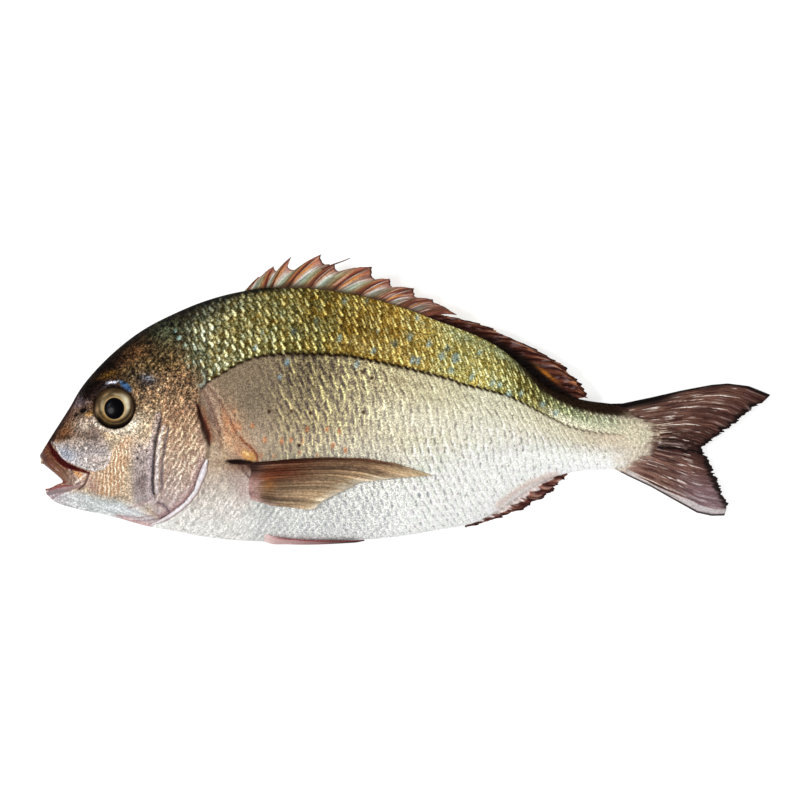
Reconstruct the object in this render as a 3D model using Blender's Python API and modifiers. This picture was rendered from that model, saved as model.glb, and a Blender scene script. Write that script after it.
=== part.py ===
"""Whole raw sea bream, ungutted, lying on its right flank with its left flank up.

Frame: +X runs from the snout to the tail, +Y from the belly to the back, +Z up.
The origin is at the middle of the outline, on the surface the fish lies on.

The fish is one solid: body, open jaws, gill covers and all fins in one piece.
The two eyes are separate globes that sit in their sockets with a thin gap.
Lengths in the tables are millimetres, x counted from the tip of the upper lip.
"""
import math

import bmesh
import bpy
from mathutils import Matrix, Vector

MM = 0.001
TOTAL_LENGTH = 420.0          # snout to the tip of the upper tail lobe
MID_X = 210.4                 # x of the origin, counted from the snout
MID_Y = -0.3                  # y of the origin in the tables
BODY_START = 0.3              # tip of the upper lip
BODY_END = 357.0              # end of the flesh inside the tail fin
EYE_GAP = 0.3                 # clearance between a globe and its socket
RINGS = 44                    # rings from snout to tail
SIDES = 40                    # points round one ring

# x, back line, belly line, half thickness, height of the middle plane
BODY = [
    (0.3, -33.2, -33.2, 0.0, 21.6),
    (1.2, -30.2, -39.0, 3.7, 21.6),
    (3.6, -26.0, -53.0, 5.6, 21.7),
    (8.2, -18.6, -58.4, 7.3, 21.8),
    (17.0, -4.9, -61.8, 9.9, 22.0),
    (23.6, 6.6, -63.4, 11.8, 22.1),
    (36.0, 21.0, -65.9, 14.5, 22.3),
    (46.0, 30.2, -68.3, 16.5, 22.5),
    (60.0, 40.5, -72.4, 19.1, 22.8),
    (75.0, 48.3, -75.0, 21.4, 23.1),
    (97.0, 57.3, -79.2, 23.6, 23.3),
    (115.0, 61.9, -80.9, 24.9, 23.4),
    (132.0, 64.2, -81.6, 25.6, 23.4),
    (153.0, 63.8, -82.0, 25.8, 23.3),
    (180.0, 60.3, -80.9, 25.2, 22.8),
    (207.0, 53.3, -78.6, 23.4, 21.7),
    (227.0, 45.8, -75.2, 21.1, 20.2),
    (247.0, 38.4, -71.8, 18.1, 18.4),
    (263.0, 30.6, -63.8, 15.2, 16.6),
    (278.0, 18.6, -53.2, 12.6, 14.7),
    (295.0, 5.6, -44.6, 10.1, 12.7),
    (315.0, -0.8, -40.6, 7.7, 10.7),
    (330.0, -2.6, -40.2, 5.8, 9.1),
    (340.0, -5.4, -38.4, 4.4, 8.1),
    (348.0, -9.4, -34.8, 3.0, 7.5),
    (354.0, -14.0, -30.0, 1.7, 7.0),
    (357.0, -21.0, -21.0, 0.0, 6.8),
]
TAIL_SAG = [(357.0, 6.8), (380.0, 4.9), (405.0, 3.2), (430.0, 2.0)]

WIDEST_AT = 0.50              # share of the body height where it is thickest
BACK_TAPER = 1.22             # how far the section narrows to a ridge on top
BELLY_TAPER = 0.92            # the belly is rounder
FLOOR_CLEAR = 0.3             # lowest level of what lies beside the flat patch

EYE_X, EYE_Y = 43.4, -5.1     # middle of the eye in the side view
EYE_RADIUS = 12.2
EYE_DEPTH = 5.2
EYE_OFFSET = 11.3             # middle of the globe from the middle plane
EYE_TILT = math.radians(8.0)  # the eye looks a little upwards
EYE_YAW = math.radians(9.0)   # and a little forwards, square to the skin

# gape between the jaws: top lip, corner and lower lip, in side view
GAPE = [(-6.0, -39.0), (1.8, -36.6), (9.8, -43.0), (14.6, -47.2),
        (10.4, -48.6), (6.2, -51.0), (-6.0, -52.0)]
# hind edge of the gill cover from the nape to the throat, in side view
GILL_EDGE = [(95.0, 5.0), (91.6, -7.2), (93.6, -17.4), (97.2, -26.0),
             (96.6, -33.2), (92.2, -41.2), (89.2, -51.2), (83.4, -58.8),
             (75.8, -64.6), (66.6, -70.4)]
GILL_SLIT = 1.5               # radius of the slit cut behind the gill cover

# spiny dorsal fin: base x, low point of the membrane, tip of the spine
SPINES = [
    (118.5, (119.5, 63.8), (125.8, 70.2)),
    (128.5, (127.6, 71.0), (134.4, 76.2)),
    (131.5, (136.4, 73.8), (144.8, 81.6)),
    (140.0, (146.6, 73.8), (162.2, 82.8)),
    (152.7, (164.2, 77.0), (169.6, 76.8)),
    (165.6, (172.4, 73.2), (191.4, 75.4)),
    (180.6, (193.0, 68.2), (201.6, 68.6)),
    (193.8, (203.2, 64.0), (215.4, 63.0)),
    (206.8, (217.2, 57.8), (226.0, 56.8)),
    (219.0, (228.0, 54.8), (239.6, 49.0)),
]
# the fifth spine ends in a thread that stands free of the membrane
THREAD = [(162.0, 74.6), (168.0, 77.4), (173.6, 79.2), (178.2, 81.2)]
THREAD_RADIUS = 0.45
# folded soft dorsal fin: base x and the point of the margin over it
SOFT_DORSAL = [
    (229.0, (243.6, 46.6)), (239.0, (259.0, 41.8)), (249.0, (270.0, 37.0)),
    (258.0, (281.0, 31.8)), (267.0, (292.0, 25.6)), (276.0, (302.0, 20.2)),
    (286.0, (309.6, 12.6)), (296.0, (314.2, 6.2)), (306.0, (316.0, 1.2)),
]
# folded anal fin: base x and the point of the margin under it
ANAL = [
    (243.0, (245.6, -73.8)), (248.0, (256.8, -70.6)), (254.0, (264.0, -68.2)),
    (260.0, (270.0, -66.0)), (266.0, (277.0, -63.8)), (273.0, (284.0, -60.6)),
    (280.0, (291.0, -56.2)), (288.0, (297.0, -51.6)), (296.0, (300.6, -47.6)),
    (302.0, (304.2, -44.0)),
]
UPPER_TIP = (420.4, 2.6)
UPPER_TIP_LOW = (416.8, -1.2)
FORK = (381.4, -27.8)
LOWER_TIP_HIGH = (396.0, -60.0)
LOWER_TIP = (394.0, -66.8)
TAIL_TOP = [(320.6, -2.6), (335.0, -2.4), (351.6, 1.0), (369.0, 5.0),
            (386.6, 8.3), (396.0, 9.1), (408.0, 7.6), (420.4, 2.6)]
TAIL_BOTTOM = [(330.4, -40.0), (338.4, -44.0), (351.6, -50.2),
               (365.0, -57.8), (378.2, -65.2), (386.6, -67.0), (394.0, -66.8)]
TAIL_ROOT = [(322.0, -3.2), (332.0, -16.0), (334.0, -28.0), (330.4, -39.6)]

# pectoral fin of the left side: edges and hind margin, in side view
PECTORAL_TOP = [(110.0, -35.6), (126.0, -35.6), (146.0, -34.0),
                (166.0, -33.2), (188.0, -33.8), (204.4, -36.6), (225.0, -43.4)]
PECTORAL_LOW = [(117.0, -54.6), (124.0, -57.8), (134.0, -60.6),
                (147.0, -61.8), (156.6, -63.2)]
PECTORAL_MARGIN = [(225.0, -43.4), (204.4, -44.9), (185.0, -47.2),
                   (175.6, -52.0), (162.4, -58.6), (156.6, -63.2)]
PECTORAL_BASE = [(110.0, -35.6), (111.4, -42.0), (113.4, -49.0),
                 (117.0, -54.6)]

# folded pelvic fins: root, tip, and the angles they span from the belly line
PELVIC_ROOT, PELVIC_TIP = 124.0, 187.0
PELVIC_HIGH, PELVIC_LOW = 21.0, 6.0

FIN_THICK = 1.7               # at a ray or spine
MEMBRANE = 0.55               # share of that thickness between rays


def smooth(table, x, column=1):
    """Smooth curve through the rows of a table, without overshoot."""
    if x <= table[0][0]:
        return table[0][column]
    if x >= table[-1][0]:
        return table[-1][column]
    n = len(table)
    i = max(k for k in range(n - 1) if table[k][0] <= x)

    def slope(k):
        if k <= 0 or k >= n - 1:
            a, b = (0, 1) if k <= 0 else (n - 2, n - 1)
            return (table[b][column] - table[a][column]) / (table[b][0] - table[a][0])
        h0 = table[k][0] - table[k - 1][0]
        h1 = table[k + 1][0] - table[k][0]
        d0 = (table[k][column] - table[k - 1][column]) / h0
        d1 = (table[k + 1][column] - table[k][column]) / h1
        if d0 * d1 <= 0.0:
            return 0.0
        w0, w1 = 2 * h1 + h0, h1 + 2 * h0
        return (w0 + w1) / (w0 / d0 + w1 / d1)

    x0, x1 = table[i][0], table[i + 1][0]
    h = x1 - x0
    t = (x - x0) / h
    y0, y1 = table[i][column], table[i + 1][column]
    m0, m1 = slope(i) * h, slope(i + 1) * h
    t2, t3 = t * t, t * t * t
    return ((2 * t3 - 3 * t2 + 1) * y0 + (t3 - 2 * t2 + t) * m0
            + (-2 * t3 + 3 * t2) * y1 + (t3 - t2) * m1)


# the snout is blunt, so the tables are read along the square root of x
ROOT_BODY = [(math.sqrt(row[0] - BODY_START),) + row[1:] for row in BODY]


def body_at(x):
    """Back, belly, half thickness and middle plane of the body at x."""
    key = math.sqrt(min(max(x, BODY_START), BODY_END) - BODY_START)
    return tuple(smooth(ROOT_BODY, key, c) for c in (1, 2, 3, 4))


def middle_plane(x):
    return smooth(TAIL_SAG, x) if x > BODY_END else body_at(x)[3]


def half_thickness(x, y):
    """Distance of the skin from the middle plane at a side view point."""
    back, belly, half, _ = body_at(x)
    centre = belly + WIDEST_AT * (back - belly)
    reach = (back - centre) if y > centre else (centre - belly)
    if reach <= 0.0:
        return 0.0
    s = min(1.0, abs(y - centre) / reach)
    taper = BACK_TAPER if y > centre else BELLY_TAPER
    return half * math.sqrt(1.0 - s * s) ** taper


def world(x, y, z):
    return Vector(((x - MID_X) * MM, (y - MID_Y) * MM, z * MM))


def walk(points, t):
    """Point at share t of the length of a polyline."""
    spans = [math.dist(a, b) for a, b in zip(points, points[1:])]
    left = t * sum(spans)
    for a, b, span in zip(points, points[1:], spans):
        if left <= span or b is points[-1]:
            f = min(1.0, left / span)
            return (a[0] + (b[0] - a[0]) * f, a[1] + (b[1] - a[1]) * f)
        left -= span
    return points[-1]


def patch(top, low, root, margin, u, v):
    """Point of a sheet bounded by two edges, a root and a margin."""
    t, b = walk(top, v), walk(low, v)
    r, m = walk(root, u), walk(margin, u)
    c00, c10, c01, c11 = root[0], root[-1], margin[0], margin[-1]
    return tuple((1 - u) * t[i] + u * b[i] + (1 - v) * r[i] + v * m[i]
                 - ((1 - u) * (1 - v) * c00[i] + u * (1 - v) * c10[i]
                    + (1 - u) * v * c01[i] + u * v * c11[i]) for i in (0, 1))


def material(name, color, roughness, metallic=0.0):
    mat = bpy.data.materials.new(name)
    mat.use_nodes = True
    shader = mat.node_tree.nodes["Principled BSDF"]
    shader.inputs["Base Color"].default_value = (*color, 1.0)
    shader.inputs["Roughness"].default_value = roughness
    shader.inputs["Metallic"].default_value = metallic
    mat.diffuse_color = (*color, 1.0)
    return mat


def add_object(name, mesh, collection, mat=None, guide=False):
    obj = bpy.data.objects.new(name, mesh)
    collection.objects.link(obj)
    if mat:
        mesh.materials.append(mat)
    if guide:
        obj.hide_render = True
        obj.display_type = "WIRE"
    return obj


def sheet(name, columns, rows, place, thickness, weight, collection):
    """Fin: a grid placed by a rule, thickened, stouter along its rays."""
    bm = bmesh.new()
    bmesh.ops.create_grid(bm, x_segments=columns, y_segments=rows, size=1.0)
    shares = []
    for vert in bm.verts:
        u, v = (vert.co.x + 1.0) / 2.0, (vert.co.y + 1.0) / 2.0
        vert.co = place(u, v)
        shares.append(weight(u, v))
    bmesh.ops.recalc_face_normals(bm, faces=bm.faces)
    mesh = bpy.data.meshes.new(name)
    bm.to_mesh(mesh)
    bm.free()
    obj = add_object(name, mesh, collection, guide=True)
    group = obj.vertex_groups.new(name="stout")
    for i, share in enumerate(shares):
        group.add([i], share, "REPLACE")
    solid = obj.modifiers.new("thickness", "SOLIDIFY")
    solid.thickness = thickness * MM
    solid.offset = 0.0
    solid.vertex_group = "stout"
    solid.thickness_vertex_group = 0.25
    return obj


def build_body(collection, mat):
    bm = bmesh.new()
    bmesh.ops.create_uvsphere(bm, u_segments=SIDES, v_segments=RINGS, radius=1.0)
    for vert in bm.verts:
        share = math.acos(max(-1.0, min(1.0, vert.co.z))) / math.pi
        x = BODY_START + (BODY_END - BODY_START) * (1 - math.cos(math.pi * share)) / 2
        back, belly, half, mid = body_at(x)
        turn = math.atan2(vert.co.y, vert.co.x)
        centre = belly + WIDEST_AT * (back - belly)
        s, c = math.sin(turn), math.cos(turn)
        reach = (back - centre) if s > 0 else (centre - belly)
        taper = BACK_TAPER if s > 0 else BELLY_TAPER
        side = math.copysign(abs(c) ** taper, c) if abs(c) > 1e-6 else 0.0
        y = centre + reach * s
        z = mid + half * side
        vert.co = world(x, y, max(z, 0.0))
    bmesh.ops.recalc_face_normals(bm, faces=bm.faces)
    mesh = bpy.data.meshes.new("fish")
    bm.to_mesh(mesh)
    bm.free()
    mesh.shade_smooth()
    return add_object("fish", mesh, collection, mat)


def dorsal_place():
    """Columns of the dorsal fin: base point on the back and margin point."""
    columns = []
    before = SPINES[0][0] - 4.0
    for base, low, tip in SPINES:
        columns.append((before + 0.2 * (base - before), low, 0.0))
        middle = ((low[0] + tip[0]) / 2.0, (low[1] + tip[1]) / 2.0 + 0.3)
        columns.append(((before + base) / 2.0, middle, 0.0))
        columns.append((base, tip, 1.0))
        before = base
    for k, (base, edge) in enumerate(SOFT_DORSAL):
        if k:
            last_base, last = SOFT_DORSAL[k - 1]
            columns.append(((base + last_base) / 2.0,
                            ((edge[0] + last[0]) / 2.0, (edge[1] + last[1]) / 2.0 - 0.7), 0.0))
        columns.append((base, edge, 1.0))
    return columns


def fin_on_ridge(name, columns, rows, side, collection):
    """Fin along the back (side +1) or the belly (side -1) in the middle plane."""
    last = len(columns) - 1

    def place(u, v):
        base_x, edge, _ = columns[round(u * last)]
        back, belly, _, _ = body_at(base_x)
        base_y = (back - 3.4) if side > 0 else (belly + 3.4)
        x = base_x + (edge[0] - base_x) * v
        y = base_y + (edge[1] - base_y) * v
        return world(x, y, middle_plane(base_x) * (1 - v) + middle_plane(x) * v)

    def weight(u, v):
        stout = columns[round(u * last)][2]
        return (MEMBRANE + (1 - MEMBRANE) * stout) * (1.0 - 0.45 * v)

    return sheet(name, last, rows, place, FIN_THICK, weight, collection)


def caudal(collection):
    def margin_line():
        pts = [UPPER_TIP, UPPER_TIP_LOW]
        for k in range(1, 9):
            f = k / 9.0
            bow = 0.4 * math.sin(math.pi * f)
            tooth = 0.7 if k % 2 else -0.5
            pts.append((UPPER_TIP_LOW[0] + (FORK[0] - UPPER_TIP_LOW[0]) * f + bow * 0.5 + tooth * 0.5,
                        UPPER_TIP_LOW[1] + (FORK[1] - UPPER_TIP_LOW[1]) * f - bow * 0.3 - tooth * 0.6))
        pts.append(FORK)
        for k in range(1, 8):
            f = k / 8.0
            bow = 1.4 * math.sin(math.pi * f)
            tooth = 0.6 if k % 2 else -0.5
            pts.append((FORK[0] + (LOWER_TIP_HIGH[0] - FORK[0]) * f + bow * 0.4 + tooth,
                        FORK[1] + (LOWER_TIP_HIGH[1] - FORK[1]) * f + bow * 0.2))
        pts += [LOWER_TIP_HIGH, LOWER_TIP]
        return pts

    margin = margin_line()
    count = len(margin) - 1
    rays = 2 * count

    def place(u, v):
        x, y = patch(TAIL_TOP, TAIL_BOTTOM, TAIL_ROOT, margin, u, v)
        lift = 0.25 * math.sin(math.pi * rays * u) * v
        return world(x, y, middle_plane(x) + lift)

    def weight(u, v):
        stout = 1.0 if round(u * rays) % 2 == 0 else 0.7
        edge = 1.0 if min(u, 1 - u) < 0.06 else 0.8
        return stout * edge * (1.15 - 0.6 * v) / 1.15

    return sheet("tail_fin", rays, 8, place, 2.2, weight, collection)


def pectoral(name, side, collection):
    def place(u, v):
        x, y = patch(PECTORAL_TOP, PECTORAL_LOW, PECTORAL_BASE, PECTORAL_MARGIN, u, v)
        flank = half_thickness(x, y)
        mid = middle_plane(x)
        if side > 0:
            rise = min(1.0, v / 0.22)
            lift = -2.6 + 5.0 * rise * rise * (3 - 2 * rise) + 0.8 * math.sin(math.pi * v)
            return world(x, y, mid + flank + lift)
        # the fin of the lower side is pressed flat between flank and table
        lift = -2.2 + 2.4 * min(1.0, v / 0.2)
        return world(x, y, max(mid - flank - lift, FLOOR_CLEAR + 0.7))

    def weight(u, v):
        stout = 1.0 if round(u * 14) % 2 == 0 else 0.75
        return stout * (1.0 - 0.4 * v)

    return sheet(name, 14, 12, place, 1.3, weight, collection)


def on_skin(x, turn, out):
    """Point over the skin at x, at an angle round the ring, raised by out."""
    def ring(angle):
        back, belly, half, mid = body_at(x)
        centre = belly + WIDEST_AT * (back - belly)
        s, c = math.sin(angle), math.cos(angle)
        reach = (back - centre) if s > 0 else (centre - belly)
        taper = BACK_TAPER if s > 0 else BELLY_TAPER
        return (centre + reach * s, mid + half * math.copysign(abs(c) ** taper, c))

    y, z = ring(turn)
    y0, z0 = ring(turn - 0.03)
    y1, z1 = ring(turn + 0.03)
    ty, tz = y1 - y0, z1 - z0
    span = math.hypot(ty, tz)
    return x, y - out * tz / span, z + out * ty / span


def pelvic(name, side, collection):
    """Folded pelvic fin, a narrow blade laid along the belly by the midline."""
    def place(u, v):
        x = PELVIC_ROOT + (PELVIC_TIP - PELVIC_ROOT) * v - 6.0 * u * v
        high = math.radians(PELVIC_HIGH) * (1.0 - 0.55 * v)
        low = math.radians(PELVIC_LOW)
        away = high + (low - high) * u
        rise = min(1.0, v / 0.2)
        out = -1.6 + 3.0 * rise * rise * (3 - 2 * rise)
        turn = -math.pi / 2 + side * away
        x, y, z = on_skin(x, turn, out)
        return world(x, y, max(z, FLOOR_CLEAR + 0.7))

    def weight(u, v):
        return 1.0 - 0.45 * v

    return sheet(name, 4, 12, place, 1.3, weight, collection)


def gape_cutter(collection):
    """Wedge between the jaws with a rounded hollow of the mouth behind it."""
    curve = bpy.data.curves.new("gape_outline", "CURVE")
    curve.dimensions = "2D"
    curve.fill_mode = "BOTH"
    curve.extrude = 16.0 * MM
    spline = curve.splines.new("POLY")
    spline.points.add(len(GAPE) - 1)
    for point, (x, y) in zip(spline.points, GAPE):
        co = world(x, y, 0.0)
        point.co = (co.x, co.y, 0.0, 1.0)
    spline.use_cyclic_u = True
    temp = bpy.data.objects.new("gape_outline", curve)
    collection.objects.link(temp)
    temp.location = (0.0, 0.0, middle_plane(8.0) * MM)
    bpy.context.view_layer.update()
    graph = bpy.context.evaluated_depsgraph_get()
    mesh = bpy.data.meshes.new_from_object(temp.evaluated_get(graph))
    mesh.transform(temp.matrix_world)
    bpy.data.objects.remove(temp)
    bm = bmesh.new()
    bm.from_mesh(mesh)
    bmesh.ops.remove_doubles(bm, verts=bm.verts, dist=1e-6)
    bmesh.ops.recalc_face_normals(bm, faces=bm.faces)
    bm.to_mesh(mesh)
    bm.free()
    return add_object("gape_cutter", mesh, collection, guide=True)


def ellipsoid(name, x, y, z, radius, depth, tilt, yaw, segments, rings,
              collection, guide, mat=None):
    bm = bmesh.new()
    bmesh.ops.create_uvsphere(bm, u_segments=segments, v_segments=rings, radius=1.0)
    bmesh.ops.scale(bm, verts=bm.verts, vec=(radius * MM, radius * MM, depth * MM))
    turn = Matrix.Rotation(yaw, 3, "Y") @ Matrix.Rotation(tilt, 3, "X")
    bmesh.ops.rotate(bm, verts=bm.verts, cent=(0, 0, 0), matrix=turn)
    mesh = bpy.data.meshes.new(name)
    bm.to_mesh(mesh)
    bm.free()
    mesh.shade_smooth()
    obj = add_object(name, mesh, collection, mat, guide)
    obj.location = world(x, y, z)
    return obj


def tube(name, points, radii, collection):
    """Closed tube through the points, with a radius at each of them."""
    curve = bpy.data.curves.new(name, "CURVE")
    curve.dimensions = "3D"
    curve.bevel_depth = MM
    curve.bevel_resolution = 1
    curve.use_fill_caps = True
    spline = curve.splines.new("POLY")
    spline.points.add(len(points) - 1)
    for point, co, radius in zip(spline.points, points, radii):
        point.co = (co.x, co.y, co.z, 1.0)
        point.radius = radius
    temp = bpy.data.objects.new(name + "_curve", curve)
    collection.objects.link(temp)
    bpy.context.view_layer.update()
    graph = bpy.context.evaluated_depsgraph_get()
    mesh = bpy.data.meshes.new_from_object(temp.evaluated_get(graph))
    mesh.transform(temp.matrix_world)
    bpy.data.objects.remove(temp)
    bm = bmesh.new()
    bm.from_mesh(mesh)
    bmesh.ops.remove_doubles(bm, verts=bm.verts, dist=1e-6)
    bmesh.ops.recalc_face_normals(bm, faces=bm.faces)
    bm.to_mesh(mesh)
    bm.free()
    return add_object(name, mesh, collection, guide=True)


def gill_cutter(name, side, collection):
    """Tube along the hind edge of a gill cover, half sunk in the skin."""
    points, radii, count = [], [], 22
    for k in range(count):
        share = k / (count - 1)
        x, y = walk(GILL_EDGE, share)
        points.append(world(x, y, middle_plane(x) + side * (half_thickness(x, y) + 0.2)))
        radii.append(GILL_SLIT * min(1.0, 4.0 * min(share, 1 - share) + 0.35))
    return tube(name, points, radii, collection)


def main():
    for obj in list(bpy.data.objects):
        bpy.data.objects.remove(obj)
    scene = bpy.context.scene
    scene.unit_settings.system = "METRIC"
    parts = bpy.data.collections.new("whole_raw_fish")
    cutters = bpy.data.collections.new("cutters")
    scene.collection.children.link(parts)
    scene.collection.children.link(cutters)

    skin = material("fish_skin", (0.42, 0.38, 0.28), 0.35, 0.1)
    eye = material("fish_eye", (0.05, 0.045, 0.04), 0.08)

    fish = build_body(parts, skin)
    unions = [
        fin_on_ridge("dorsal_fin", dorsal_place(), 4, 1, cutters),
        fin_on_ridge("anal_fin", [(b, e, float(k % 2 == 0)) for k, (b, e) in enumerate(ANAL)],
                     3, -1, cutters),
        caudal(cutters),
        pectoral("pectoral_left", 1, cutters),
        pectoral("pectoral_right", -1, cutters),
        pelvic("pelvic_left", 1, cutters),
        pelvic("pelvic_right", -1, cutters),
        tube("spine_thread", [world(x, y, middle_plane(x)) for x, y in THREAD],
             [THREAD_RADIUS * (1.0 - 0.15 * k) for k in range(len(THREAD))], cutters),
    ]
    cuts = [
        gape_cutter(cutters),
        gill_cutter("gill_left", 1, cutters),
        gill_cutter("gill_right", -1, cutters),
    ]
    mouth_hollow = ellipsoid("mouth_hollow", 10.5, -46.0, middle_plane(8.0), 6.4, 3.8, 0.0, 0.0, 16, 10,
                             cutters, True)
    cuts.append(mouth_hollow)
    for label, side in (("left", 1), ("right", -1)):
        z = middle_plane(EYE_X) + side * EYE_OFFSET
        cuts.append(ellipsoid("socket_" + label, EYE_X, EYE_Y, z, EYE_RADIUS + EYE_GAP,
                              EYE_DEPTH + EYE_GAP, -side * EYE_TILT, -side * EYE_YAW,
                              20, 10, cutters, True))
        globe = ellipsoid("eye_" + label, EYE_X, EYE_Y, z, EYE_RADIUS, EYE_DEPTH,
                          -side * EYE_TILT, -side * EYE_YAW, 20, 10, parts, False, eye)
        globe.parent = fish
    for tool in unions + cuts:
        step = fish.modifiers.new(tool.name, "BOOLEAN")
        step.object = tool
        step.solver = "EXACT"
        step.operation = "UNION" if tool in unions else "DIFFERENCE"
    bpy.context.view_layer.update()


main()
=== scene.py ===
import math

import bpy
import numpy as np
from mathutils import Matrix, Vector


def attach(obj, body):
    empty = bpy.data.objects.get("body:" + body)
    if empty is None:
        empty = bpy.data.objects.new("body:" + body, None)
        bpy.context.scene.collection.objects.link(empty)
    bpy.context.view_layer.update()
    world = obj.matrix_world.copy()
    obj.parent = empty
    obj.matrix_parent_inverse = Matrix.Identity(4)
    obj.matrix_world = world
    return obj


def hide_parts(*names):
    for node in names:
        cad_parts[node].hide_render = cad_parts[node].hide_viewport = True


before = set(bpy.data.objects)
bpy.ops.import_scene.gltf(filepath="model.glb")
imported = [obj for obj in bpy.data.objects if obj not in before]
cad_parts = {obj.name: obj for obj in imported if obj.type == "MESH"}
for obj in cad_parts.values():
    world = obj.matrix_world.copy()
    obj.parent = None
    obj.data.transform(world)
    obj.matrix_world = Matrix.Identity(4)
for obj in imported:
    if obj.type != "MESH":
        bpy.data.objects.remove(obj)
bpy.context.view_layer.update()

MM = 0.001
MID_X, MID_Y = 210.4, -0.3
UNIT = 0.57456
BODY_START, BODY_END = 0.3, 357.0
SPLIT_HEAD, SPLIT_REAR = 100.0, 228.0     # rings where one skin piece ends and the next begins

# x, back line, belly line, half thickness, height of the middle plane
BODY = [
    (0.3, -33.2, -33.2, 0.0, 21.6), (1.2, -30.2, -39.0, 3.7, 21.6),
    (3.6, -26.0, -53.0, 5.6, 21.7), (8.2, -18.6, -58.4, 7.3, 21.8),
    (17.0, -4.9, -61.8, 9.9, 22.0), (23.6, 6.6, -63.4, 11.8, 22.1),
    (36.0, 21.0, -65.9, 14.5, 22.3), (46.0, 30.2, -68.3, 16.5, 22.5),
    (60.0, 40.5, -72.4, 19.1, 22.8), (75.0, 48.3, -75.0, 21.4, 23.1),
    (97.0, 57.3, -79.2, 23.6, 23.3), (115.0, 61.9, -80.9, 24.9, 23.4),
    (132.0, 64.2, -81.6, 25.6, 23.4), (153.0, 63.8, -82.0, 25.8, 23.3),
    (180.0, 60.3, -80.9, 25.2, 22.8), (207.0, 53.3, -78.6, 23.4, 21.7),
    (227.0, 45.8, -75.2, 21.1, 20.2), (247.0, 38.4, -71.8, 18.1, 18.4),
    (263.0, 30.6, -63.8, 15.2, 16.6), (278.0, 18.6, -53.2, 12.6, 14.7),
    (295.0, 5.6, -44.6, 10.1, 12.7), (315.0, -0.8, -40.6, 7.7, 10.7),
    (330.0, -2.6, -40.2, 5.8, 9.1), (340.0, -5.4, -38.4, 4.4, 8.1),
    (348.0, -9.4, -34.8, 3.0, 7.5), (354.0, -14.0, -30.0, 1.7, 7.0),
    (357.0, -21.0, -21.0, 0.0, 6.8),
]
TAIL_SAG = [(357.0, 6.8), (380.0, 4.9), (405.0, 3.2), (430.0, 2.0)]
BACK_TAPER, BELLY_TAPER = 1.22, 0.92

EYE_X, EYE_Y, EYE_RADIUS = 43.4, -5.1, 12.2
GAPE = [(-6.0, -39.0), (1.8, -36.6), (9.8, -43.0), (14.6, -47.2),
        (10.4, -48.6), (6.2, -51.0), (-6.0, -52.0)]
# base x, low point of the membrane before the spine, tip of the spine
SPINES = [
    (118.5, (119.5, 63.8), (125.8, 70.2)), (128.5, (127.6, 71.0), (134.4, 76.2)),
    (131.5, (136.4, 73.8), (144.8, 81.6)), (140.0, (146.6, 73.8), (162.2, 82.8)),
    (152.7, (164.2, 77.0), (169.6, 76.8)), (165.6, (172.4, 73.2), (191.4, 75.4)),
    (180.6, (193.0, 68.2), (201.6, 68.6)), (193.8, (203.2, 64.0), (215.4, 63.0)),
    (206.8, (217.2, 57.8), (226.0, 56.8)), (219.0, (228.0, 54.8), (239.6, 48.0)),
]
THREAD = [(162.0, 74.6), (168.0, 77.4), (173.6, 79.2), (178.2, 81.2)]
SOFT_DORSAL = [
    (229.0, (243.6, 46.6)), (239.0, (259.0, 41.8)), (249.0, (270.0, 37.0)),
    (258.0, (281.0, 31.8)), (267.0, (292.0, 25.6)), (276.0, (302.0, 20.2)),
    (286.0, (309.6, 12.6)), (296.0, (314.2, 6.2)), (306.0, (316.0, 1.2)),
]
ANAL = [
    (243.0, (245.6, -73.8)), (248.0, (256.8, -70.6)), (254.0, (264.0, -68.2)),
    (260.0, (270.0, -66.0)), (266.0, (277.0, -63.8)), (273.0, (284.0, -60.6)),
    (280.0, (291.0, -56.2)), (288.0, (297.0, -51.6)), (296.0, (300.6, -47.6)),
    (302.0, (304.2, -44.0)),
]
UPPER_TIP, UPPER_TIP_LOW, FORK = (420.4, 2.6), (416.8, -1.2), (381.4, -27.8)
LOWER_TIP_HIGH, LOWER_TIP = (396.0, -60.0), (394.0, -66.8)
TAIL_TOP = [(320.6, -2.6), (335.0, -2.4), (351.6, 1.0), (369.0, 5.0),
            (386.6, 8.3), (396.0, 9.1), (408.0, 7.6), (420.4, 2.6)]
TAIL_BOTTOM = [(330.4, -40.0), (338.4, -44.0), (351.6, -50.2),
               (365.0, -57.8), (378.2, -65.2), (386.6, -67.0), (394.0, -66.8)]
TAIL_ROOT = [(322.0, -3.2), (332.0, -16.0), (334.0, -28.0), (330.4, -39.6)]
PECTORAL_TOP = [(110.0, -35.6), (126.0, -35.6), (146.0, -34.0), (166.0, -33.2),
                (188.0, -33.8), (204.4, -36.6), (225.0, -43.4)]
PECTORAL_LOW = [(117.0, -54.6), (124.0, -57.8), (134.0, -60.6), (147.0, -61.8),
                (156.6, -63.2)]
PECTORAL_MARGIN = [(225.0, -43.4), (204.4, -44.9), (185.0, -47.2),
                   (175.6, -52.0), (162.4, -58.6), (156.6, -63.2)]
PECTORAL_BASE = [(110.0, -35.6), (111.4, -42.0), (113.4, -49.0), (117.0, -54.6)]
PELVIC_ROOT, PELVIC_TIP = 124.0, 187.0
PELVIC_HIGH, PELVIC_LOW = 21.0, 6.0

# lateral line, on the drawing grid
LATERAL = [(208.5, 383), (224, 373), (239.5, 364), (262, 356.6), (288, 354),
           (313.6, 354.3), (339.4, 355.4), (365, 359), (391, 365), (421, 372),
           (442, 377), (463, 384.5), (484, 389.4), (505, 395), (523.5, 403),
           (540, 412), (551.5, 418), (568, 426), (590, 431.5), (606, 433.3),
           (627, 434.8), (655, 436)]


# ---------------------------------------------------------------- numbers
def grid_u(x):
    return 40.0 + x / UNIT


def grid_v(y):
    return 399.5 - y / UNIT


def from_grid(u, v):
    return (u - 40.0) * UNIT, (399.5 - v) * UNIT


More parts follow.
